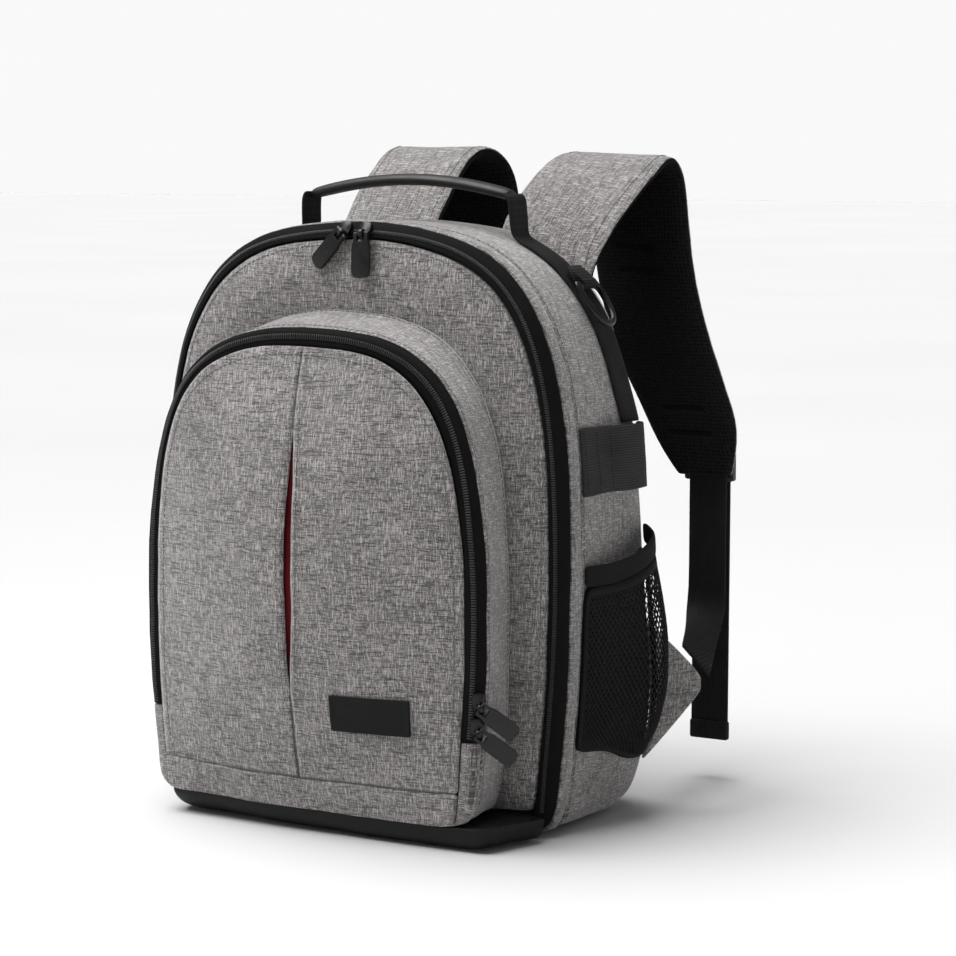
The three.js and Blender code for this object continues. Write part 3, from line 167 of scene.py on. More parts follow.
def shader_material(name, roughness, metallic=0.0, specular=0.5, sheen=0.0, coat=0.0):
    material = bpy.data.materials.new(name)
    material.use_nodes = True
    tree = material.node_tree
    shader = tree.nodes["Principled BSDF"]
    shader.inputs["Roughness"].default_value = roughness
    shader.inputs["Metallic"].default_value = metallic
    shader.inputs["Specular IOR Level"].default_value = specular
    shader.inputs["Sheen Weight"].default_value = sheen
    shader.inputs["Sheen Roughness"].default_value = 0.6
    shader.inputs["Coat Weight"].default_value = coat
    shader.inputs["Coat Roughness"].default_value = 0.35
    return material, tree, shader


def weave_place(tree):
    """Place on the cloth, in millimetres along and across it."""
    uv = wire(tree, "UVMap", uv_map="weave").outputs["UV"]
    return wire(tree, "Mapping", {"Vector": uv, "Scale": (1000, 1000, 1)}).outputs["Vector"]


def object_place(tree):
    """Place in space, in millimetres."""
    place = wire(tree, "TexCoord").outputs["Object"]
    return wire(tree, "Mapping", {"Vector": place, "Scale": (1000, 1000, 1000)}).outputs["Vector"]


def streaks(tree, place, size, shift, detail=1.5):
    """Stretched noise, as a value from about 0 to 1. The size is that of one streak, in millimetres."""
    mapped = wire(tree, "Mapping", {
        "Vector": place, "Location": (shift, shift * 1.7, shift * 0.6),
        "Scale": tuple(1 / length for length in size)}).outputs["Vector"]
    value = wire(tree, "TexNoise", {"Vector": mapped, "Scale": 1.0, "Detail": detail, "Roughness": 0.55})
    return spread(tree, value.outputs["Fac"], 0.3, 0.7)


def ribs(tree, value, pitch):
    """Soft ribs across a value in millimetres."""
    return spread(tree, math_node(tree, "SINE", math_node(tree, "MULTIPLY", value, 2 * math.pi / pitch)), -1, 1)


def relief(tree, shader, height, depth, strength=1.0):
    bump = wire(tree, "Bump", {"Height": height, "Distance": depth * MM, "Strength": strength})
    tree.links.new(bump.outputs["Normal"], shader.inputs["Normal"])


def parts_of(tree, vector):
    split = wire(tree, "SeparateXYZ", {"Vector": vector})
    return split.outputs["X"], split.outputs["Y"], split.outputs["Z"]


def melange_cloth(name, seam=False):
    """Two-tone woven cloth: threads of uneven colour both ways, with thick places here and there."""
    material, tree, shader = shader_material(name, 0.95, specular=0.15, sheen=0.4)
    place = weave_place(tree)
    warp = streaks(tree, place, (0.47, 3.8, 1), 0.0)
    weft = streaks(tree, place, (3.8, 0.47, 1), 31.0)
    over = spread(tree, streaks(tree, place, (0.55, 0.55, 1), 62.0), 0.44, 0.66)
    thick_warp = spread(tree, streaks(tree, place, (0.72, 9.0, 1), 93.0), 0.6, 0.85)
    thick_weft = spread(tree, streaks(tree, place, (9.0, 0.72, 1), 124.0), 0.6, 0.85)
    threads = wire(tree, "Mix", {0: over, 2: warp, 3: weft}, data_type="FLOAT").outputs[0]
    thick = math_node(tree, "SUBTRACT", thick_warp, thick_weft)
    threads = math_node(tree, "ADD", threads, math_node(tree, "MULTIPLY", thick, 0.42))
    cloud = streaks(tree, place, (55, 55, 1), 155.0)
    threads = math_node(tree, "ADD", threads, spread(tree, cloud, 0, 1, -0.06, 0.06))
    ramp = wire(tree, "ValToRGB", {"Fac": threads})
    ramp.color_ramp.elements[0].position = 0.08
    ramp.color_ramp.elements[0].color = grey(0.042, 1.08)
    ramp.color_ramp.elements[1].position = 0.95
    ramp.color_ramp.elements[1].color = grey(0.4, 1.05)
    middle = ramp.color_ramp.elements.new(0.5)
    middle.color = grey(0.145, 1.08)
    colour = ramp.outputs["Color"]
    if seam:
        # Painted shade: a dark line down the pocket's middle seam, left out along the slit, and a dark line along
        # the top of the hem.
        x, _, z = parts_of(tree, object_place(tree))
        line = spread(tree, math_node(tree, "ABSOLUTE", x), 0.5, 1.1, 1, 0)
        slit = math_node(tree, "MULTIPLY", spread(tree, z, SLIT_LOW, SLIT_LOW + 1),
                         spread(tree, z, SLIT_HIGH - 1, SLIT_HIGH, 1, 0))
        line = math_node(tree, "MULTIPLY", line, spread(tree, slit, 0, 1, 1, 0))
        above_hem = math_node(tree, "ABSOLUTE", math_node(tree, "SUBTRACT", z, HEM_TOP))
        line = math_node(tree, "MAXIMUM", line, spread(tree, above_hem, 0.7, 1.6, 1, 0))
        colour = blend_colour(tree, math_node(tree, "MULTIPLY", line, 0.7), colour, grey(0.02))
    tree.links.new(colour, shader.inputs["Base Color"])
    relief(tree, shader, threads, 0.22, 0.5)
    return material


def black_weave(name, level, pitch, diagonal=False, specular=0.14):
    """Black narrow cloth, ribbed along its length, with fine picks across."""
    material, tree, shader = shader_material(name, 0.75, specular=specular)
    place = weave_place(tree)
    along, across, _ = parts_of(tree, place)
    if diagonal:
        along, across = math_node(tree, "ADD", along, across), math_node(tree, "SUBTRACT", along, across)
    picks = spread(tree, ribs(tree, along, pitch * 0.8), 0, 1, 0.5, 1)
    pattern = math_node(tree, "MULTIPLY", picks, ribs(tree, across, pitch))
    dust = streaks(tree, place, (18, 18, 1), 7.0, 4)
    shade = math_node(
        tree, "ADD", math_node(tree, "MULTIPLY", pattern, 0.75), math_node(tree, "MULTIPLY", dust, 0.25))
    colour = blend_colour(tree, shade, grey(level * 0.45), grey(level * 1.7))
    tree.links.new(colour, shader.inputs["Base Color"])
    relief(tree, shader, pattern, 0.3, 0.7)
    return material


def air_mesh(name, level, pitch=2.6, creases=()):
    """Knitted spacer mesh: rows of small pits, with painted shade in the pits. The creases are lengths along the
    cloth with a pressed line, painted darker as shade.
    """
    material, tree, shader = shader_material(name, 0.9, specular=0.08)
    place = weave_place(tree)
    along, across, _ = parts_of(tree, place)
    mapped = wire(tree, "Mapping", {"Vector": place, "Scale": (1 / pitch, 1 / pitch, 1)}).outputs["Vector"]
    cells = wire(tree, "TexVoronoi", {"Vector": mapped, "Scale": 1.0, "Randomness": 0.25})
    pit_depth_and_shade = spread(tree, cells.outputs["Distance"], 0.18, 0.5)
    height = pit_depth_and_shade
    pressed = None
    for length in creases:
        far = math_node(tree, "ABSOLUTE", math_node(tree, "SUBTRACT", along, length))
        pressed = far if pressed is None else math_node(tree, "MINIMUM", pressed, far)
    # Painted shade: the pits are darker than the knit around them.
    colour = blend_colour(tree, pit_depth_and_shade, grey(level * 0.3), grey(level * 1.5))
    if pressed is not None:
        # Painted shade in the pressed creases: they are sunk in the relief and painted darker.
        line = math_node(tree, "MULTIPLY", spread(tree, pressed, 1.0, 3.2, 1, 0),
                         spread(tree, math_node(tree, "ABSOLUTE", across), 13, 17, 1, 0))
        height = math_node(tree, "SUBTRACT", pit_depth_and_shade, math_node(tree, "MULTIPLY", line, 7.0))
        colour = blend_colour(tree, math_node(tree, "MULTIPLY", line, 0.6), colour, grey(level * 0.25))
    tree.links.new(colour, shader.inputs["Base Color"])
    relief(tree, shader, height, 0.45, 0.8)
    return material


def grained(name, level, grain, roughness, depth, specular=0.5, coat=0.0, metallic=0.0, tint=1.0):
    """Leather, rubber, coated cloth, plastic or metal: a fine grain with a little unevenness."""
    material, tree, shader = shader_material(name, roughness, metallic=metallic, specular=specular, coat=coat)
    place = object_place(tree)
    fine = streaks(tree, place, (grain, grain, grain), 5.0, 3)
    broad = streaks(tree, place, (grain * 14, grain * 14, grain * 9), 17.0, 3)
    colour = blend_colour(tree, broad, grey(level * 0.75, tint), grey(level * 1.3, tint))
    colour = blend_colour(tree, math_node(tree, "MULTIPLY", fine, 0.3), colour, grey(level * 0.5, tint))
    tree.links.new(colour, shader.inputs["Base Color"])
    tree.links.new(spread(tree, broad, 0, 1, roughness * 0.85, min(1, roughness * 1.2)), shader.inputs["Roughness"])
    relief(tree, shader, fine, depth, 0.5)
    return material


def red_weave():
    material, tree, shader = shader_material("dark red cloth", 0.85, specular=0.2)
    place = weave_place(tree)
    along, across, _ = parts_of(tree, place)
    pattern = math_node(tree, "MULTIPLY", ribs(tree, along, 0.9), ribs(tree, across, 0.9))
    colour = blend_colour(tree, pattern, (0.055, 0.002, 0.004, 1), (0.2, 0.006, 0.012, 1))
    tree.links.new(colour, shader.inputs["Base Color"])
    relief(tree, shader, pattern, 0.2, 0.6)
    return material


def length_at(line, height):
    """Length along a strap's middle line where it hangs at a height, in millimetres."""
    lengths = np.concatenate([[0], np.cumsum(np.linalg.norm(np.diff(line, axis=0), axis=1))])
    peak = int(np.argmax(line[:, 2]))
    return float(np.interp(-height, -line[peak:, 2], lengths[peak:]))


CREASE_HEIGHTS = (366, 350, 256, 240)
strap_lines = {name: np.array(line, float) for name, line in STRAP_LINES.items()}
crease_lengths = [length_at(strap_lines["right"], z) for z in CREASE_HEIGHTS]

GREY_CLOTH = melange_cloth("grey melange cloth")
SEAM_SHADED_CLOTH = melange_cloth("grey melange cloth with painted seam shade", seam=True)
ZIP_TAPE = black_weave("black zip tape", 0.005, 1.2, diagonal=True, specular=0.08)
ZIP_COIL = grained("black zip coil", 0.013, 0.8, 0.42, 0.05)
WEBBING = black_weave("black webbing", 0.012, 1.7)
ELASTIC = black_weave("black elastic", 0.03, 1.6)
BINDING = black_weave("black binding", 0.008, 1.0)
AIR_MESH = air_mesh("black air mesh", 0.007)
STRAP_MESH = air_mesh("black strap mesh", 0.006, creases=crease_lengths)
NET_THREAD = grained("black net thread", 0.016, 0.6, 0.75, 0.08, specular=0.15)
BASE_CLOTH = grained("black coated base cloth", 0.007, 0.9, 0.5, 0.06, specular=0.2)
RED_CLOTH = red_weave()
GRIP_LEATHER = grained("black grip leather", 0.01, 1.1, 0.5, 0.12, specular=0.3, coat=0.08, tint=1.03)
PATCH_RUBBER = grained("black patch rubber", 0.006, 0.5, 0.6, 0.08, specular=0.18)
DARK_METAL = grained("dark metal", 0.01, 1.4, 0.26, 0.02, specular=0.3)
LOCK_PLASTIC = grained("dark lock plastic", 0.035, 0.7, 0.45, 0.05)
GREY_THREAD = grained("grey thread", 0.14, 0.5, 0.8, 0.05, specular=0.2)
BLACK_THREAD = grained("black thread", 0.02, 0.5, 0.7, 0.05, specular=0.3)


# Modelling helpers.

def pick(piece):
    bpy.ops.object.select_all(action="DESELECT")
    piece.select_set(True)
    bpy.context.view_layer.objects.active = piece


def apply_modifier(piece, kind, **settings):
    pick(piece)
    modifier = piece.modifiers.new(kind.title(), kind)
    for name, value in settings.items():
        setattr(modifier, name, value)
    bpy.ops.object.modifier_apply(modifier=modifier.name)


def subdivide(piece, levels):
    if levels:
        apply_modifier(piece, "SUBSURF", levels=levels, render_levels=levels)


def copy_of(node, name):
    """A copy of a CAD node with its loose triangles merged."""
    piece = NODES[node].copy()
    piece.data = NODES[node].data.copy()
    piece.name = name
    piece.data.name = name
    bpy.context.scene.collection.objects.link(piece)
    piece.parent = None
    for key in list(piece.keys()):
        del piece[key]
    pick(piece)
    bpy.ops.mesh.customdata_custom_splitnormals_clear()
    bpy.ops.object.mode_set(mode="EDIT")
    bpy.ops.mesh.select_all(action="SELECT")
    bpy.ops.mesh.remove_doubles(threshold=0.00002)
    bpy.ops.object.mode_set(mode="OBJECT")
    return piece


def soften(piece, crease=0.75, levels=2, angle=50):
    """Turns the triangles to quads, keeps the sharp edges a little and rounds the rest."""
    pick(piece)
    bpy.ops.object.mode_set(mode="EDIT")
    bpy.ops.mesh.select_all(action="SELECT")
    bpy.ops.mesh.tris_convert_to_quads(face_threshold=math.radians(60), shape_threshold=math.radians(80))
    bpy.ops.object.mode_set(mode="OBJECT")
    shape = bmesh.new()
    shape.from_mesh(piece.data)
    layer = shape.edges.layers.float.get("crease_edge") or shape.edges.layers.float.new("crease_edge")
    for edge in shape.edges:
        if len(edge.link_faces) == 2 and edge.calc_face_angle(0) > math.radians(angle):
            edge[layer] = crease
    shape.to_mesh(piece.data)
    shape.free()
    subdivide(piece, levels)
    pick(piece)
    bpy.ops.object.shade_smooth()
    return piece


def bevelled(piece, width, segments=2):
    """Rounds the edges of a hard piece."""
    pick(piece)
    bpy.ops.object.mode_set(mode="EDIT")
    bpy.ops.mesh.select_all(action="SELECT")
    bpy.ops.mesh.dissolve_limited(angle_limit=math.radians(2))
    bpy.ops.object.mode_set(mode="OBJECT")
    apply_modifier(piece, "BEVEL", width=width * MM, segments=segments, limit_method="ANGLE",
                   angle_limit=math.radians(28))
    pick(piece)
    bpy.ops.object.shade_smooth_by_angle(angle=math.radians(35))
    return piece


def points_of(piece):
    points = np.empty(len(piece.data.vertices) * 3)
    piece.data.vertices.foreach_get("co", points)
    return points.reshape(-1, 3) / MM


def put_points(piece, points):
    piece.data.vertices.foreach_set("co", (points * MM).ravel())
    piece.data.update()


def set_weave(piece, places):
    """Keeps each vertex's place on the cloth, in metres, as the piece's own map."""
    mesh = piece.data
    layer = mesh.uv_layers.get("weave") or mesh.uv_layers.new(name="weave")
    corners = np.empty(len(mesh.loops), int)
    mesh.loops.foreach_get("vertex_index", corners)
    layer.data.foreach_set("uv", (places[corners] * MM).ravel())


def weave_flat(piece, first, second):
    """Cloth laid flat along two of the three directions."""
    points = points_of(piece)
    set_weave(piece, points[:, [first, second]])


def weave_round(piece, line, across, fold=0.0):
    """Cloth that follows a line, with its width along one direction. The fold adds its way in from the line."""
    points = points_of(piece)
    starts, steps = line[:-1], np.diff(line, axis=0)
    lengths = np.concatenate([[0], np.cumsum(np.linalg.norm(steps, axis=1))])
    keep = np.ones(3)
    keep[across] = 0
    best = np.full(len(points), np.inf)
    places = np.zeros((len(points), 2))
    for start, step, before, after in zip(starts, steps, lengths, lengths[1:]):
        flat = step * keep
        share = np.clip(((points - start) * keep) @ flat / max(flat @ flat, 1e-9), 0, 1)
        foot = start + share[:, None] * step
        gap = np.linalg.norm((points - foot) * keep, axis=1)
        nearer = gap < best
        best[nearer] = gap[nearer]
        places[nearer, 0] = before + share[nearer] * (after - before)
        places[nearer, 1] = points[nearer, across] - foot[nearer, across] + fold * gap[nearer]
    set_weave(piece, places)


def settle(piece, amount=1.0):
    """Soft unevenness of filled cloth. It depends on the place alone, so that neighbours move together."""
    points = points_of(piece)
    for i, point in enumerate(points):
        broad = noise.noise_vector(Vector(point / 52))
        fine = noise.noise_vector(Vector(point / 17) + Vector((40, 7, 3)))
        points[i] = point + amount * (np.array(broad) * 1.3 + np.array(fine) * 0.32)
    points[:, 2] = np.maximum(points[:, 2], 0)
    put_points(piece, points)


def dress(piece, material, slot, *nodes, body="bag"):
    """Gives a piece its material, the body it rides on and the nodes it stands for. The slot is not used."""
    piece.data.materials.clear()
    piece.data.materials.append(material)
    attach(piece, body)
    if nodes:
        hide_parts(*nodes)
    return piece


def surface_of(piece):
    mesh = piece.data
    return BVHTree.FromPolygons([v.co.copy() for v in mesh.vertices], [tuple(p.vertices) for p in mesh.polygons])


def steps_along(line, pitch):
    """Evenly spaced points on a line in millimetres, with the line's direction at each."""
    steps = np.diff(line, axis=0)
    lengths = np.concatenate([[0], np.cumsum(np.linalg.norm(steps, axis=1))])
    count = max(int(lengths[-1] / pitch), 1)
    for i in range(count):
        at = (i + 0.5) * lengths[-1] / count
        k = min(int(np.searchsorted(lengths, at, side="right")) - 1, len(steps) - 1)
        share = (at - lengths[k]) / max(lengths[k + 1] - lengths[k], 1e-9)
        yield line[k] + steps[k] * share, steps[k] / max(np.linalg.norm(steps[k]), 1e-9)


def copies_along(name, shape, line, surface, pitch, lift=0.0):
    """Copies of a small shape along a line, set on a surface. The shape's Y follows the line and its Z faces out."""
    corners = points_of(shape)
    faces = [tuple(p.vertices) for p in shape.data.polygons]
    points, polygons = [], []
    for place, way in steps_along(line, pitch):
        hit, normal, _, _ = surface.find_nearest(Vector(place * MM))
        out = np.array(normal)
        ahead = way - out * (way @ out)
        ahead /= max(np.linalg.norm(ahead), 1e-9)
        side = np.cross(ahead, out)
        base = np.array(hit) / MM + out * lift
        polygons += [tuple(i + len(points) for i in face) for face in faces]
        points += list(base + corners[:, :1] * side + corners[:, 1:2] * ahead + corners[:, 2:] * out)
    mesh = bpy.data.meshes.new(name)
    mesh.from_pydata([Vector(p * MM) for p in points], [], polygons)
    piece = bpy.data.objects.new(name, mesh)
    bpy.context.scene.collection.objects.link(piece)
    pick(piece)
    bpy.ops.object.shade_smooth()
    return piece


def small_block(name, size, bevel):
    """A small rounded block, for a shape that is repeated."""
    bpy.ops.object.select_all(action="DESELECT")
    bpy.ops.mesh.primitive_cube_add(size=1)
    block = bpy.context.object
    block.name = name
    block.scale = [length * MM for length in size]
    bpy.ops.object.transform_apply(location=False, rotation=False, scale=True)
    apply_modifier(block, "BEVEL", width=bevel * MM, segments=1)
    return block


tooth = small_block("coil_tooth", (3.7, 1.05, 1.3), 0.32)
small_tooth = small_block("small_coil_tooth", (2.8, 0.95, 0.9), 0.28)
stitch = small_block("single_stitch", (0.75, 2.7, 0.6), 0.22)


def stitch_row(name, lines, piece, material, slot, pitch=4.0):
    """Rows of stitches on a piece."""
    surface = surface_of(piece)
    rows = []
    for i, line in enumerate(lines):
        rows.append(copies_along(f"{name}_{i}", stitch, np.array(line, float), surface, pitch, lift=0.1))
    bpy.ops.object.select_all(action="DESELECT")
    for row in rows:
        row.select_set(True)
    bpy.context.view_layer.objects.active = rows[0]
    if len(rows) > 1:
        bpy.ops.object.join()
    rows[0].name = name
    rows[0].data.name = name
    return dress(rows[0], material, slot)


def sheet_from_grid(name, grid, wanted):
    """A sheet from a grid of points in millimetres. Its face looks the wanted way."""
    rows, columns = len(grid), len(grid[0])
    points = [Vector(p) * MM for row in grid for p in row]
    faces = [(i * columns + j, i * columns + j + 1, (i + 1) * columns + j + 1, (i + 1) * columns + j)
             for i in range(rows - 1) for j in range(columns - 1)]
    mesh = bpy.data.meshes.new(name)
    mesh.from_pydata(points, [], faces)
    piece = bpy.data.objects.new(name, mesh)
    bpy.context.scene.collection.objects.link(piece)
    mesh.update()
    facing = sum((Vector(p.normal).dot(Vector(wanted)) * p.area for p in mesh.polygons), 0.0)
    if facing < 0:
        mesh.flip_normals()
    return piece


# Body.

def fold_line(points, start, end, width, depth, inward):
    """Pushes points in along a soft fold between two places."""
    start, end = np.array(start, float), np.array(end, float)
    way = end - start
    share = np.clip((points - start) @ way / (way @ way), 0, 1)
    gap = np.linalg.norm(points - (start + share[:, None] * way), axis=1)
    fade = np.sin(np.pi * np.clip(share * 0.9 + 0.05, 0, 1))
    ridge = np.exp(-((gap - width * 1.5) / width) ** 2) * 0.45
    return points + ((ridge - np.exp(-(gap / width) ** 2)) * depth * fade)[:, None] * -np.array(inward)


body_line = over_the_top(right_arch(**BODY_ARCH), 0, 0)
pocket_line = over_the_top(pocket_arch(0.5, 0), 0, 0)

gusset = soften(copy_of("gusset", "gusset_cloth"))
weave_round(gusset, body_line, 1, fold=1.0)
settle(gusset)
for side in (1, -1):
    put_points(gusset, fold_line(
        points_of(gusset), (side * 152, 4, 50), (side * 150, -42, 8), 5, 2.4, (-side, 0, 0)))
dress(gusset, GREY_CLOTH, "grey_cloth", "gusset")

zip_border = soften(copy_of("zip_border", "zip_border_cloth"), crease=0.5)
weave_round(zip_border, body_line, 1)
settle(zip_border)
dress(zip_border, GREY_CLOTH, "grey_cloth", "zip_border")

main_tape = soften(copy_of("main_zip_tape", "main_zip_tape_cloth"))
weave_round(main_tape, body_line, 1, fold=-1.0)
settle(main_tape)
dress(main_tape, ZIP_TAPE, "zip_tape", "main_zip_tape")

front_panel = soften(copy_of("front_panel", "front_panel_cloth"))
weave_flat(front_panel, 0, 2)
settle(front_panel)
dress(front_panel, GREY_CLOTH, "grey_cloth", "front_panel")

back_panel = soften(copy_of("back_panel", "back_panel_mesh"), levels=3)
points = points_of(back_panel)
rear = np.clip((points[:, 1] - 60) / 6, 0, 1)
for channel in CHANNELS_ALONG:
    points[:, 1] -= rear * 3.4 * np.exp(-((points[:, 0] - channel) / 5) ** 2)
for channel in CHANNELS_ACROSS:
    points[:, 1] -= rear * 2.4 * np.exp(-((points[:, 2] - channel) / 5) ** 2) * (np.abs(points[:, 0]) < 118)
put_points(back_panel, points)
weave_flat(back_panel, 0, 2)
settle(back_panel)
dress(back_panel, AIR_MESH, "air_mesh", "back_panel")

def covered_base():
    """The base under the front, closed on top where the pocket's foot is sewn to it."""
    base = copy_of("front_base", "front_base_cloth")
    shape = bmesh.new()
    shape.from_mesh(base.data)
    shape.normal_update()
    middle = Vector((10, -88, 0)) * MM
    inner = []
    for face in shape.faces:
        centre = face.calc_center_median()
        inward = (middle - centre) * Vector((1, 1, 0))
        if max(v.co.z for v in face.verts) < 0.0158:
            if face.normal.z > 0.3 or face.normal.dot(inward.normalized()) > 0.3:
                inner.append(face)
        elif face.normal.dot(inward.normalized()) > 0.6:
            inner.append(face)
    bmesh.ops.delete(shape, geom=inner, context="FACES")
    bmesh.ops.holes_fill(shape, edges=[e for e in shape.edges if e.is_boundary])
    bmesh.ops.recalc_face_normals(shape, faces=shape.faces)
    shape.to_mesh(base.data)
    shape.free()
    return base


front_base = soften(covered_base(), levels=3)
weave_flat(front_base, 0, 1)
settle(front_base, 0.6)
dress(front_base, BASE_CLOTH, "base_cloth", "front_base")

# Front pocket.
pocket_gusset = soften(copy_of("pocket_gusset", "pocket_gusset_cloth"))
weave_round(pocket_gusset, pocket_line, 1)
settle(pocket_gusset)
dress(pocket_gusset, GREY_CLOTH, "grey_cloth", "pocket_gusset")

pocket_tape = soften(copy_of("pocket_zip_tape", "pocket_zip_tape_cloth"))
weave_round(pocket_tape, pocket_line, 1, fold=-1.0)
settle(pocket_tape)
dress(pocket_tape, ZIP_TAPE, "zip_tape", "pocket_zip_tape")


def pocket_corner(side, name):
    """Grey corner below the zip's end. It runs down the pocket's edge and round its foot."""
    grid = []
    for inset, forward in ((0.3, 0), (1.0, 0.4), (2.6, 0.72), (5.5, 0.87), (9, 0.96), (12, 1)):
        rim = pocket_arch(1, inset)
        lengths = np.concatenate([[0], np.cumsum(np.linalg.norm(np.diff(rim, axis=0), axis=1))])
        end = np.interp(CORNER_TOP, rim[6:40, 1], lengths[6:40])
        depth = between(CORNER_BACK_Y, POCKET_FACE_Y, forward)
        grid.append([(side * np.interp(s, lengths, rim[:, 0]), depth, np.interp(s, lengths, rim[:, 1]))
                     for s in np.linspace(0, end, 36)])
    corner = sheet_from_grid(name, grid, (side, -1, 0))
    apply_modifier(corner, "SOLIDIFY", thickness=2.2 * MM, offset=-1)
    subdivide(corner, 1)
    bpy.ops.object.shade_smooth()
    weave_round(corner, pocket_line * (side, 1, 1), 1, fold=-1.0)
    return corner


for side, name in SIDES:
    corner = pocket_corner(side, f"pocket_corner_{name}_cloth")
    settle(corner)
    dress(corner, GREY_CLOTH, "grey_cloth", "pocket_corner_" + name)

hem_band = soften(copy_of("pocket_hem_band", "pocket_hem_band_cloth"), levels=3)
points = points_of(hem_band)
points[:, 1] -= 0.9
put_points(hem_band, points)
weave_flat(hem_band, 0, 2)
settle(hem_band)
dress(hem_band, GREY_CLOTH, "grey_cloth", "pocket_hem_band")


def half_front():
    """Right half of the pocket's face: a grid from its rim in to the seam and the slit in its middle."""
    rim = pocket_arch(1, ZIP_WIDTH + 0.3)
    low = HEM_TOP + 0.3
    rim = rim[rim[:, 1] > low + 1]
    foot = [(x, low) for x in np.linspace(0, rim[0][0], 34)]
    outline = np.array(foot + [tuple(p) for p in rim])
    lengths = np.concatenate([[0], np.cumsum(np.linalg.norm(np.diff(outline, axis=0), axis=1))])
    even = np.linspace(0, lengths[-1], 150)
    outline = np.array([(np.interp(s, lengths, outline[:, 0]), np.interp(s, lengths, outline[:, 1])) for s in even])
    top = outline[-1][1]
    corner_length = rim[0][0]
    shares = [*np.linspace(0, 0.96, 40), 0.975, 0.984, 0.99, 0.995, 1.0]
    grid = []
    for (x, z), length in zip(outline, even):
        if length < corner_length:
            spine = between(low, low + 26, length / corner_length)
        else:
            spine = between(low + 26, top, (length - corner_length) / (lengths[-1] - corner_length))
        row = []
        for share in shares:
            height = between(z, spine, share)
            lip = slit_half(height)
            across = max(between(x, slit_half(spine), share), lip)
            depth = pocket_face(across, height)
            near = across - lip
            open_slit = min(1.0, lip / 0.8)
            depth += 0.75 * math.exp(-(near / 1.1) ** 2) * (1 + open_slit)
            depth -= 0.55 * math.exp(-((near - 3.2) / 1.6) ** 2)
            row.append((across, depth, height))
        grid.append(row)
    return grid


right_grid = half_front()
pocket_front = sheet_from_grid("pocket_front_cloth", right_grid, (0, -1, 0))
left_half = sheet_from_grid("pocket_front_left", [[(-x, y, z) for x, y, z in row] for row in right_grid],
                            (0, -1, 0))
bpy.ops.object.select_all(action="DESELECT")
left_half.select_set(True)
pocket_front.select_set(True)
bpy.context.view_layer.objects.active = pocket_front
bpy.ops.object.join()
bpy.ops.object.mode_set(mode="EDIT")
bpy.ops.mesh.select_all(action="SELECT")
bpy.ops.mesh.remove_doubles(threshold=0.00002)
bpy.ops.object.mode_set(mode="OBJECT")
apply_modifier(pocket_front, "SOLIDIFY", thickness=2.4 * MM, offset=-1)
pick(pocket_front)
bpy.ops.object.shade_smooth()
weave_flat(pocket_front, 0, 2)
settle(pocket_front)
dress(pocket_front, SEAM_SHADED_CLOTH, "grey_cloth", "pocket_front")

pleat_lining = soften(copy_of("pleat_lining", "pleat_lining_cloth"), levels=2)
weave_flat(pleat_lining, 0, 2)
dress(pleat_lining, RED_CLOTH, "red_cloth", "pleat_lining")

label_patch = soften(copy_of("label_patch", "label_patch_rubber"), crease=0.85, levels=3)
points = points_of(label_patch)
edge = np.minimum(PATCH_HALVES[0] - np.abs(points[:, 0] - PATCH_MIDDLE[0]),
                  PATCH_HALVES[1] - np.abs(points[:, 2] - PATCH_MIDDLE[1]))
front_y = np.array([pocket_face(x, z) for x, _, z in points])
is_face = points[:, 1] < front_y - 1.0
points[:, 1] += np.where(is_face, 0.5 * np.clip((edge - 1.6) / 0.8, 0, 1), 0)
put_points(label_patch, points)
weave_flat(label_patch, 0, 2)
dress(label_patch, PATCH_RUBBER, "patch_rubber", "label_patch")

# Zips. Their coils lie on the front facets of the tapes.
pocket_coil_line = over_the_top(pocket_arch(1, 6.4), -112, 72)
pocket_coil = copies_along("pocket_zip_coil", tooth, pocket_coil_line, surface_of(pocket_tape), 1.65, lift=0.25)
dress(pocket_coil, ZIP_COIL, "zip_tape")
main_coil_line = over_the_top(right_arch(**BODY_ARCH, inset=6.6), -58.7, 16)
main_coil = copies_along("main_zip_coil", small_tooth, main_coil_line, surface_of(main_tape), 1.5, lift=0.1)
dress(main_coil, ZIP_COIL, "zip_tape")

for place in ("main_slider_left", "main_slider_right", "pocket_slider_upper", "pocket_slider_lower"):
    slider = bevelled(copy_of(place, place + "_metal"), 0.45)
    dress(slider, DARK_METAL, "dark_metal", place)


def widen(pull, share):
    """Makes a pull wider, about the middle of its length."""
    points = points_of(pull)
    middle = (points.max(axis=0) + points.min(axis=0)) / 2
    _, _, axes = np.linalg.svd(points - points.mean(axis=0), full_matrices=False)
    put_points(pull, points + np.outer((points - middle) @ axes[1] * (share - 1), axes[1]))


for place, share in (("main_pull_left", 1.3), ("main_pull_right", 1.3),
                     ("pocket_pull_upper", 1.15), ("pocket_pull_lower", 1.15)):
    pull = bevelled(copy_of(place, place + "_metal"), 0.6, 3)
    widen(pull, share)
    dress(pull, DARK_METAL, "dark_metal", place, body=place)

# Handle and sides.
grip = soften(copy_of("handle_grip", "handle_grip_leather"), crease=0.3, levels=3)
apply_modifier(grip, "DISPLACE", strength=0.6 * MM, mid_level=0)
dress(grip, GRIP_LEATHER, "grip_leather", "handle_grip")

for side, name in SIDES:
    band = soften(copy_of("side_webbing_" + name, f"side_webbing_{name}_cloth"), crease=0.9)
    weave_round(band, body_line, 1)
    settle(band)
    dress(band, WEBBING, "webbing", "side_webbing_" + name)

    elastic = soften(copy_of("side_elastic_" + name, f"side_elastic_{name}_cloth"), crease=0.9)
    weave_flat(elastic, 1, 2)
    settle(elastic)
    dress(elastic, ELASTIC, "elastic", "side_elastic_" + name)

    binding = soften(copy_of("net_binding_" + name, f"net_binding_{name}_cloth"), crease=0.35, levels=3)
    weave_flat(binding, 1, 2)
    settle(binding)
    dress(binding, BINDING, "webbing", "net_binding_" + name)

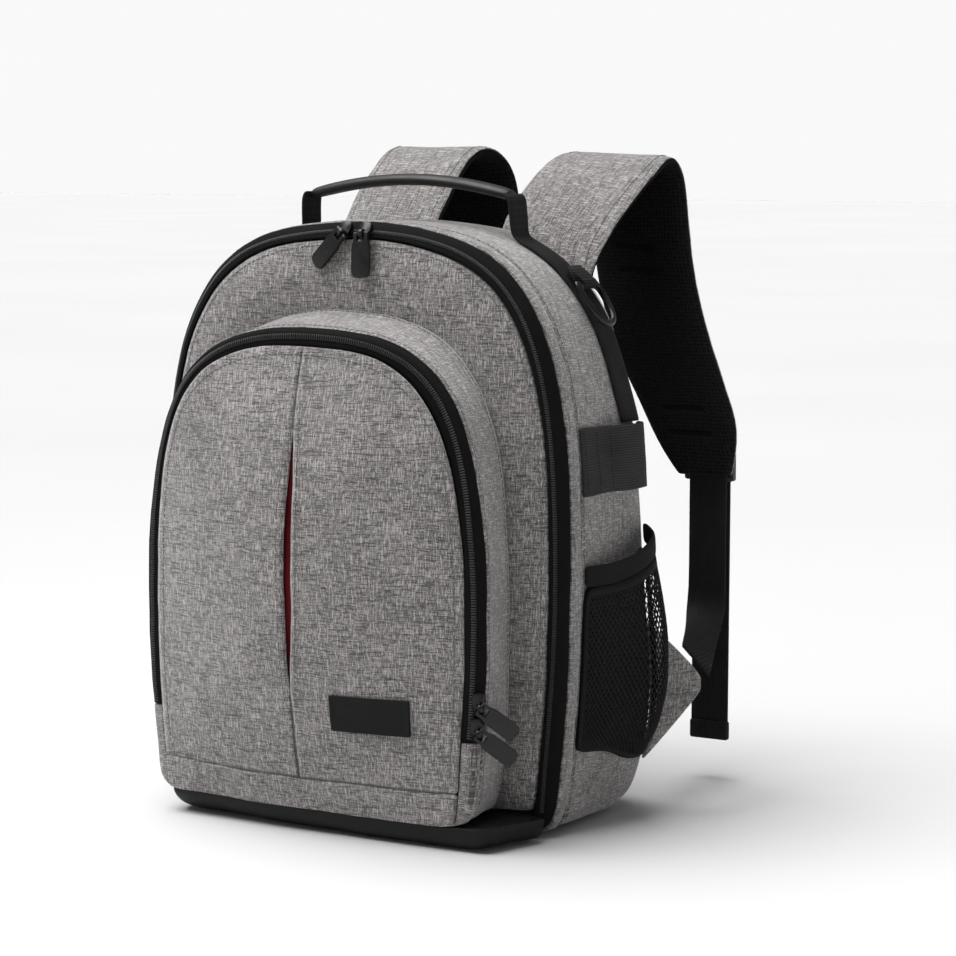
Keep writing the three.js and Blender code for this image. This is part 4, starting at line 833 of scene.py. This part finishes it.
ring_tab = soften(copy_of("ring_tab", "ring_tab_cloth"), crease=0.9, levels=1)
weave_flat(ring_tab, 1, 2)
dress(ring_tab, WEBBING, "webbing", "ring_tab")
d_ring = soften(copy_of("d_ring", "d_ring_metal"), levels=2)
apply_modifier(d_ring, "DISPLACE", strength=0.6 * MM, mid_level=0)
dress(d_ring, DARK_METAL, "dark_metal", "d_ring", body="ring")


def at_margin(face):
    """Whether a face of an open sheet touches the sheet's edge."""
    return any(edge.is_boundary for vertex in face.verts for edge in vertex.link_edges)


def keep_faces(piece, wanted):
    """Deletes the faces that the test turns down."""
    shape = bmesh.new()
    shape.from_mesh(piece.data)
    shape.normal_update()
    bmesh.ops.delete(shape, geom=[face for face in shape.faces if not wanted(face)], context="FACES")
    shape.to_mesh(piece.data)
    shape.free()


def net_pocket(side, name):
    """Knotted net with a sewn margin, in front of a black sheet on the gusset that paints the shade inside the
    pocket.
    """
    node = "net_pocket_" + name
    sheet = copy_of(node, node + "_margin")
    pick(sheet)
    bpy.ops.object.mode_set(mode="EDIT")
    bpy.ops.mesh.select_all(action="SELECT")
    bpy.ops.mesh.tris_convert_to_quads(face_threshold=math.radians(60), shape_threshold=math.radians(80))
    bpy.ops.object.mode_set(mode="OBJECT")
    keep_faces(sheet, lambda face: face.normal.x * side >= 0.25)
    subdivide(sheet, 2)

    net = sheet.copy()
    net.data = sheet.data.copy()
    net.name = node + "_threads"
    bpy.context.scene.collection.objects.link(net)
    shape = bmesh.new()
    shape.from_mesh(net.data)
    open_faces = {face for face in shape.faces if not at_margin(face)}
    margin = [face for face in shape.faces if face not in open_faces]
    old = [edge for edge in shape.edges
           if len(edge.link_faces) == 2 and all(face in open_faces for face in edge.link_faces)]
    bmesh.ops.delete(shape, geom=margin, context="FACES")
    bmesh.ops.poke(shape, faces=list(shape.faces))
    bmesh.ops.dissolve_edges(shape, edges=[edge for edge in old if edge.is_valid], use_verts=False)
    shape.to_mesh(net.data)
    shape.free()
    apply_modifier(net, "WIREFRAME", thickness=1.05 * MM, use_replace=True, use_boundary=True)
    pick(net)
    bpy.ops.object.shade_smooth()
    weave_flat(net, 1, 2)
    settle(net)
    dress(net, NET_THREAD, "net", node)

    # Painted shade: a black sheet on the gusset behind the net, standing in for the shade inside the net pocket.
    shade_sheet = sheet.copy()
    shade_sheet.data = sheet.data.copy()
    shade_sheet.name = f"net_shade_sheet_{name}"
    bpy.context.scene.collection.objects.link(shade_sheet)
    apply_modifier(shade_sheet, "SHRINKWRAP", target=gusset, wrap_method="NEAREST_SURFACEPOINT",
                   wrap_mode="OUTSIDE_SURFACE", offset=0.5 * MM)
    apply_modifier(shade_sheet, "SOLIDIFY", thickness=0.4 * MM, offset=1)
    weave_flat(shade_sheet, 1, 2)
    dress(shade_sheet, BINDING, "net")

    keep_faces(sheet, at_margin)
    apply_modifier(sheet, "SOLIDIFY", thickness=1.3 * MM, offset=0)
    pick(sheet)
    bpy.ops.object.shade_smooth()
    weave_flat(sheet, 1, 2)
    settle(sheet)
    dress(sheet, BINDING, "net", node)


for side, name in SIDES:
    net_pocket(side, name)


def webbing_hem(webbing, name):
    """The end of the webbing, folded over twice and sewn."""
    points = points_of(webbing)
    low, high = points[points[:, 2] < 40].min(axis=0), points[points[:, 2] < 40].max(axis=0)
    bpy.ops.object.select_all(action="DESELECT")
    bpy.ops.mesh.primitive_cube_add(size=1, location=[(a + b) / 2 * MM for a, b in zip(low, high)])
    hem = bpy.context.object
    hem.name = name
    hem.location.z = (low[2] + 6.5) * MM
    hem.scale = ((high[0] - low[0] + 0.8) * MM, 5.6 * MM, 13 * MM)
    bpy.ops.object.transform_apply(location=True, rotation=False, scale=True)
    apply_modifier(hem, "BEVEL", width=1.6 * MM, segments=4)
    bpy.ops.object.shade_smooth()
    weave_flat(hem, 2, 0)
    dress(hem, WEBBING, "webbing")


# Shoulder straps.
for side, name in SIDES:
    line = strap_lines[name] * (side, 1, 1)
    cover = soften(copy_of("strap_cover_" + name, f"strap_cover_{name}_cloth"), crease=0.4)
    weave_round(cover, line, 0)
    settle(cover)
    dress(cover, GREY_CLOTH, "grey_cloth", "strap_cover_" + name)
    halves = [32.5] * (len(line) - 4) + [30, 28, 22, 14]
    out = np.array([(0, y - 122, z - min(z, 345)) for _, y, z in line])
    out *= 9 / np.linalg.norm(out, axis=1)[:, None]
    stitch_row(f"strap_stitches_{name}", [
        line + out + [(way * half, 0, 0) for half in halves] for way in (1, -1)], cover, GREY_THREAD, "grey_cloth")

    padding = soften(copy_of("strap_padding_" + name, f"strap_padding_{name}_mesh"), crease=0.4, levels=3)
    weave_round(padding, line, 0)
    settle(padding)
    dress(padding, STRAP_MESH, "air_mesh", "strap_padding_" + name)

    lock = bevelled(copy_of("strap_lock_" + name, f"strap_lock_{name}_plastic"), 0.8, 3)
    dress(lock, LOCK_PLASTIC, "lock_plastic", "strap_lock_" + name)

    for part in ("lock_keeper", "strap_webbing"):
        webbing = soften(copy_of(f"{part}_{name}", f"{part}_{name}_cloth"), crease=0.9)
        weave_flat(webbing, 2, 0)
        dress(webbing, WEBBING, "webbing", f"{part}_{name}")
    webbing_hem(webbing, "webbing_hem_" + name)

    anchor = soften(copy_of("strap_anchor_" + name, f"strap_anchor_{name}_cloth"), crease=1)
    weave_flat(anchor, 1, 2)
    settle(anchor)
    dress(anchor, GREY_CLOTH, "grey_cloth", "strap_anchor_" + name)

# Topstitching.
for side, name in SIDES:
    stitch_row(f"elastic_stitches_{name}", [
        [(side * 165, y, z) for z in np.linspace(218.5, 257.5, 12)] for y in (-31, -15.3, -1.8)
    ], bpy.data.objects[f"side_elastic_{name}_cloth"], BLACK_THREAD, "elastic", pitch=3.4)
stitch_row("pocket_front_stitches", [
    over_the_top(pocket_arch(1, 16.5), -120, 44),
    [(x, -118, HEM_TOP + 3.5) for x in np.linspace(-108, 108, 40)],
    *[[(side * (slit_half(z) + 4.5), pocket_face(5, z), z) for z in np.linspace(SLIT_LOW - 6, SLIT_HIGH + 6, 40)]
      for side in (1, -1)],
], pocket_front, GREY_THREAD, "grey_cloth")
stitch_row("pocket_gusset_stitches", [
    over_the_top(pocket_arch(1, 0), -102, 26), over_the_top(pocket_arch(0, 0), -69, 26),
], pocket_gusset, GREY_THREAD, "grey_cloth")
stitch_row("front_panel_stitches", [over_the_top(right_arch(**BODY_ARCH, inset=15), -62, 30)],
           front_panel, GREY_THREAD, "grey_cloth")
stitch_row("gusset_stitches", [
    over_the_top(right_arch(**BODY_ARCH), -33, 8), over_the_top(right_arch(**BODY_ARCH, inset=9), 50, 8),
], gusset, GREY_THREAD, "grey_cloth")

for shape in (tooth, small_tooth, stitch):
    bpy.data.objects.remove(shape)

# Studio: a pale floor, soft light and the camera.

def studio_floor():
    bpy.ops.object.select_all(action="DESELECT")
    bpy.ops.mesh.primitive_plane_add(size=40, location=(0, 0, 0))
    floor = bpy.context.object
    floor.name = "studio_floor"
    material, tree, shader = shader_material("pale floor", 0.9, specular=0.1)
    haze = streaks(tree, object_place(tree), (900, 900, 900), 2.0)
    tree.links.new(blend_colour(tree, haze, grey(0.61), grey(0.63)), shader.inputs["Base Color"])
    floor.data.materials.append(material)


def soft_light(name, place, aim, size, power):
    data = bpy.data.lights.new(name, "AREA")
    data.energy = power
    data.size = size
    light = bpy.data.objects.new(name, data)
    light.location = place
    light.rotation_euler = (Vector(aim) - Vector(place)).to_track_quat("-Z", "Y").to_euler()
    bpy.context.scene.collection.objects.link(light)


studio_floor()
sun = bpy.data.objects.new("high_window", bpy.data.lights.new("high_window", "SUN"))
sun.data.energy = 4.3
sun.data.angle = math.radians(55)
sun.rotation_euler = Vector((0.28, 0.08, -0.955)).to_track_quat("-Z", "Y").to_euler()
bpy.context.scene.collection.objects.link(sun)
soft_light("top_light", (-0.45, -0.65, 1.25), (0, -0.05, 0.36), 0.8, 5)

world = bpy.data.worlds.new("studio air")
world.use_nodes = True
way = wire(world.node_tree, "TexCoord").outputs["Generated"]
height = parts_of(world.node_tree, way)[2]
brightness = spread(world.node_tree, height, 0.05, 0.25, 0.95, 0.2)
air = world.node_tree.nodes["Background"]
air.inputs["Color"].default_value = (1, 1, 1, 1)
world.node_tree.links.new(brightness, air.inputs["Strength"])
bpy.context.scene.world = world

camera = bpy.data.objects.new("camera", bpy.data.cameras.new("camera"))
camera.location = (1.0512, -1.6186, 0.435)
view = Vector((-0.5446, 0.8387, 0)) + 0.02556 * Vector((0.8387, 0.5446, 0)) - Vector((0, 0, 0.1133))
camera.rotation_euler = view.to_track_quat("-Z", "Y").to_euler()
camera.data.lens = 110.1
camera.data.sensor_width = 36
camera.data.clip_end = 60
bpy.context.scene.collection.objects.link(camera)
bpy.context.scene.camera = camera
bpy.context.scene.view_settings.view_transform = "Standard"
bpy.context.scene.view_settings.look = "None"
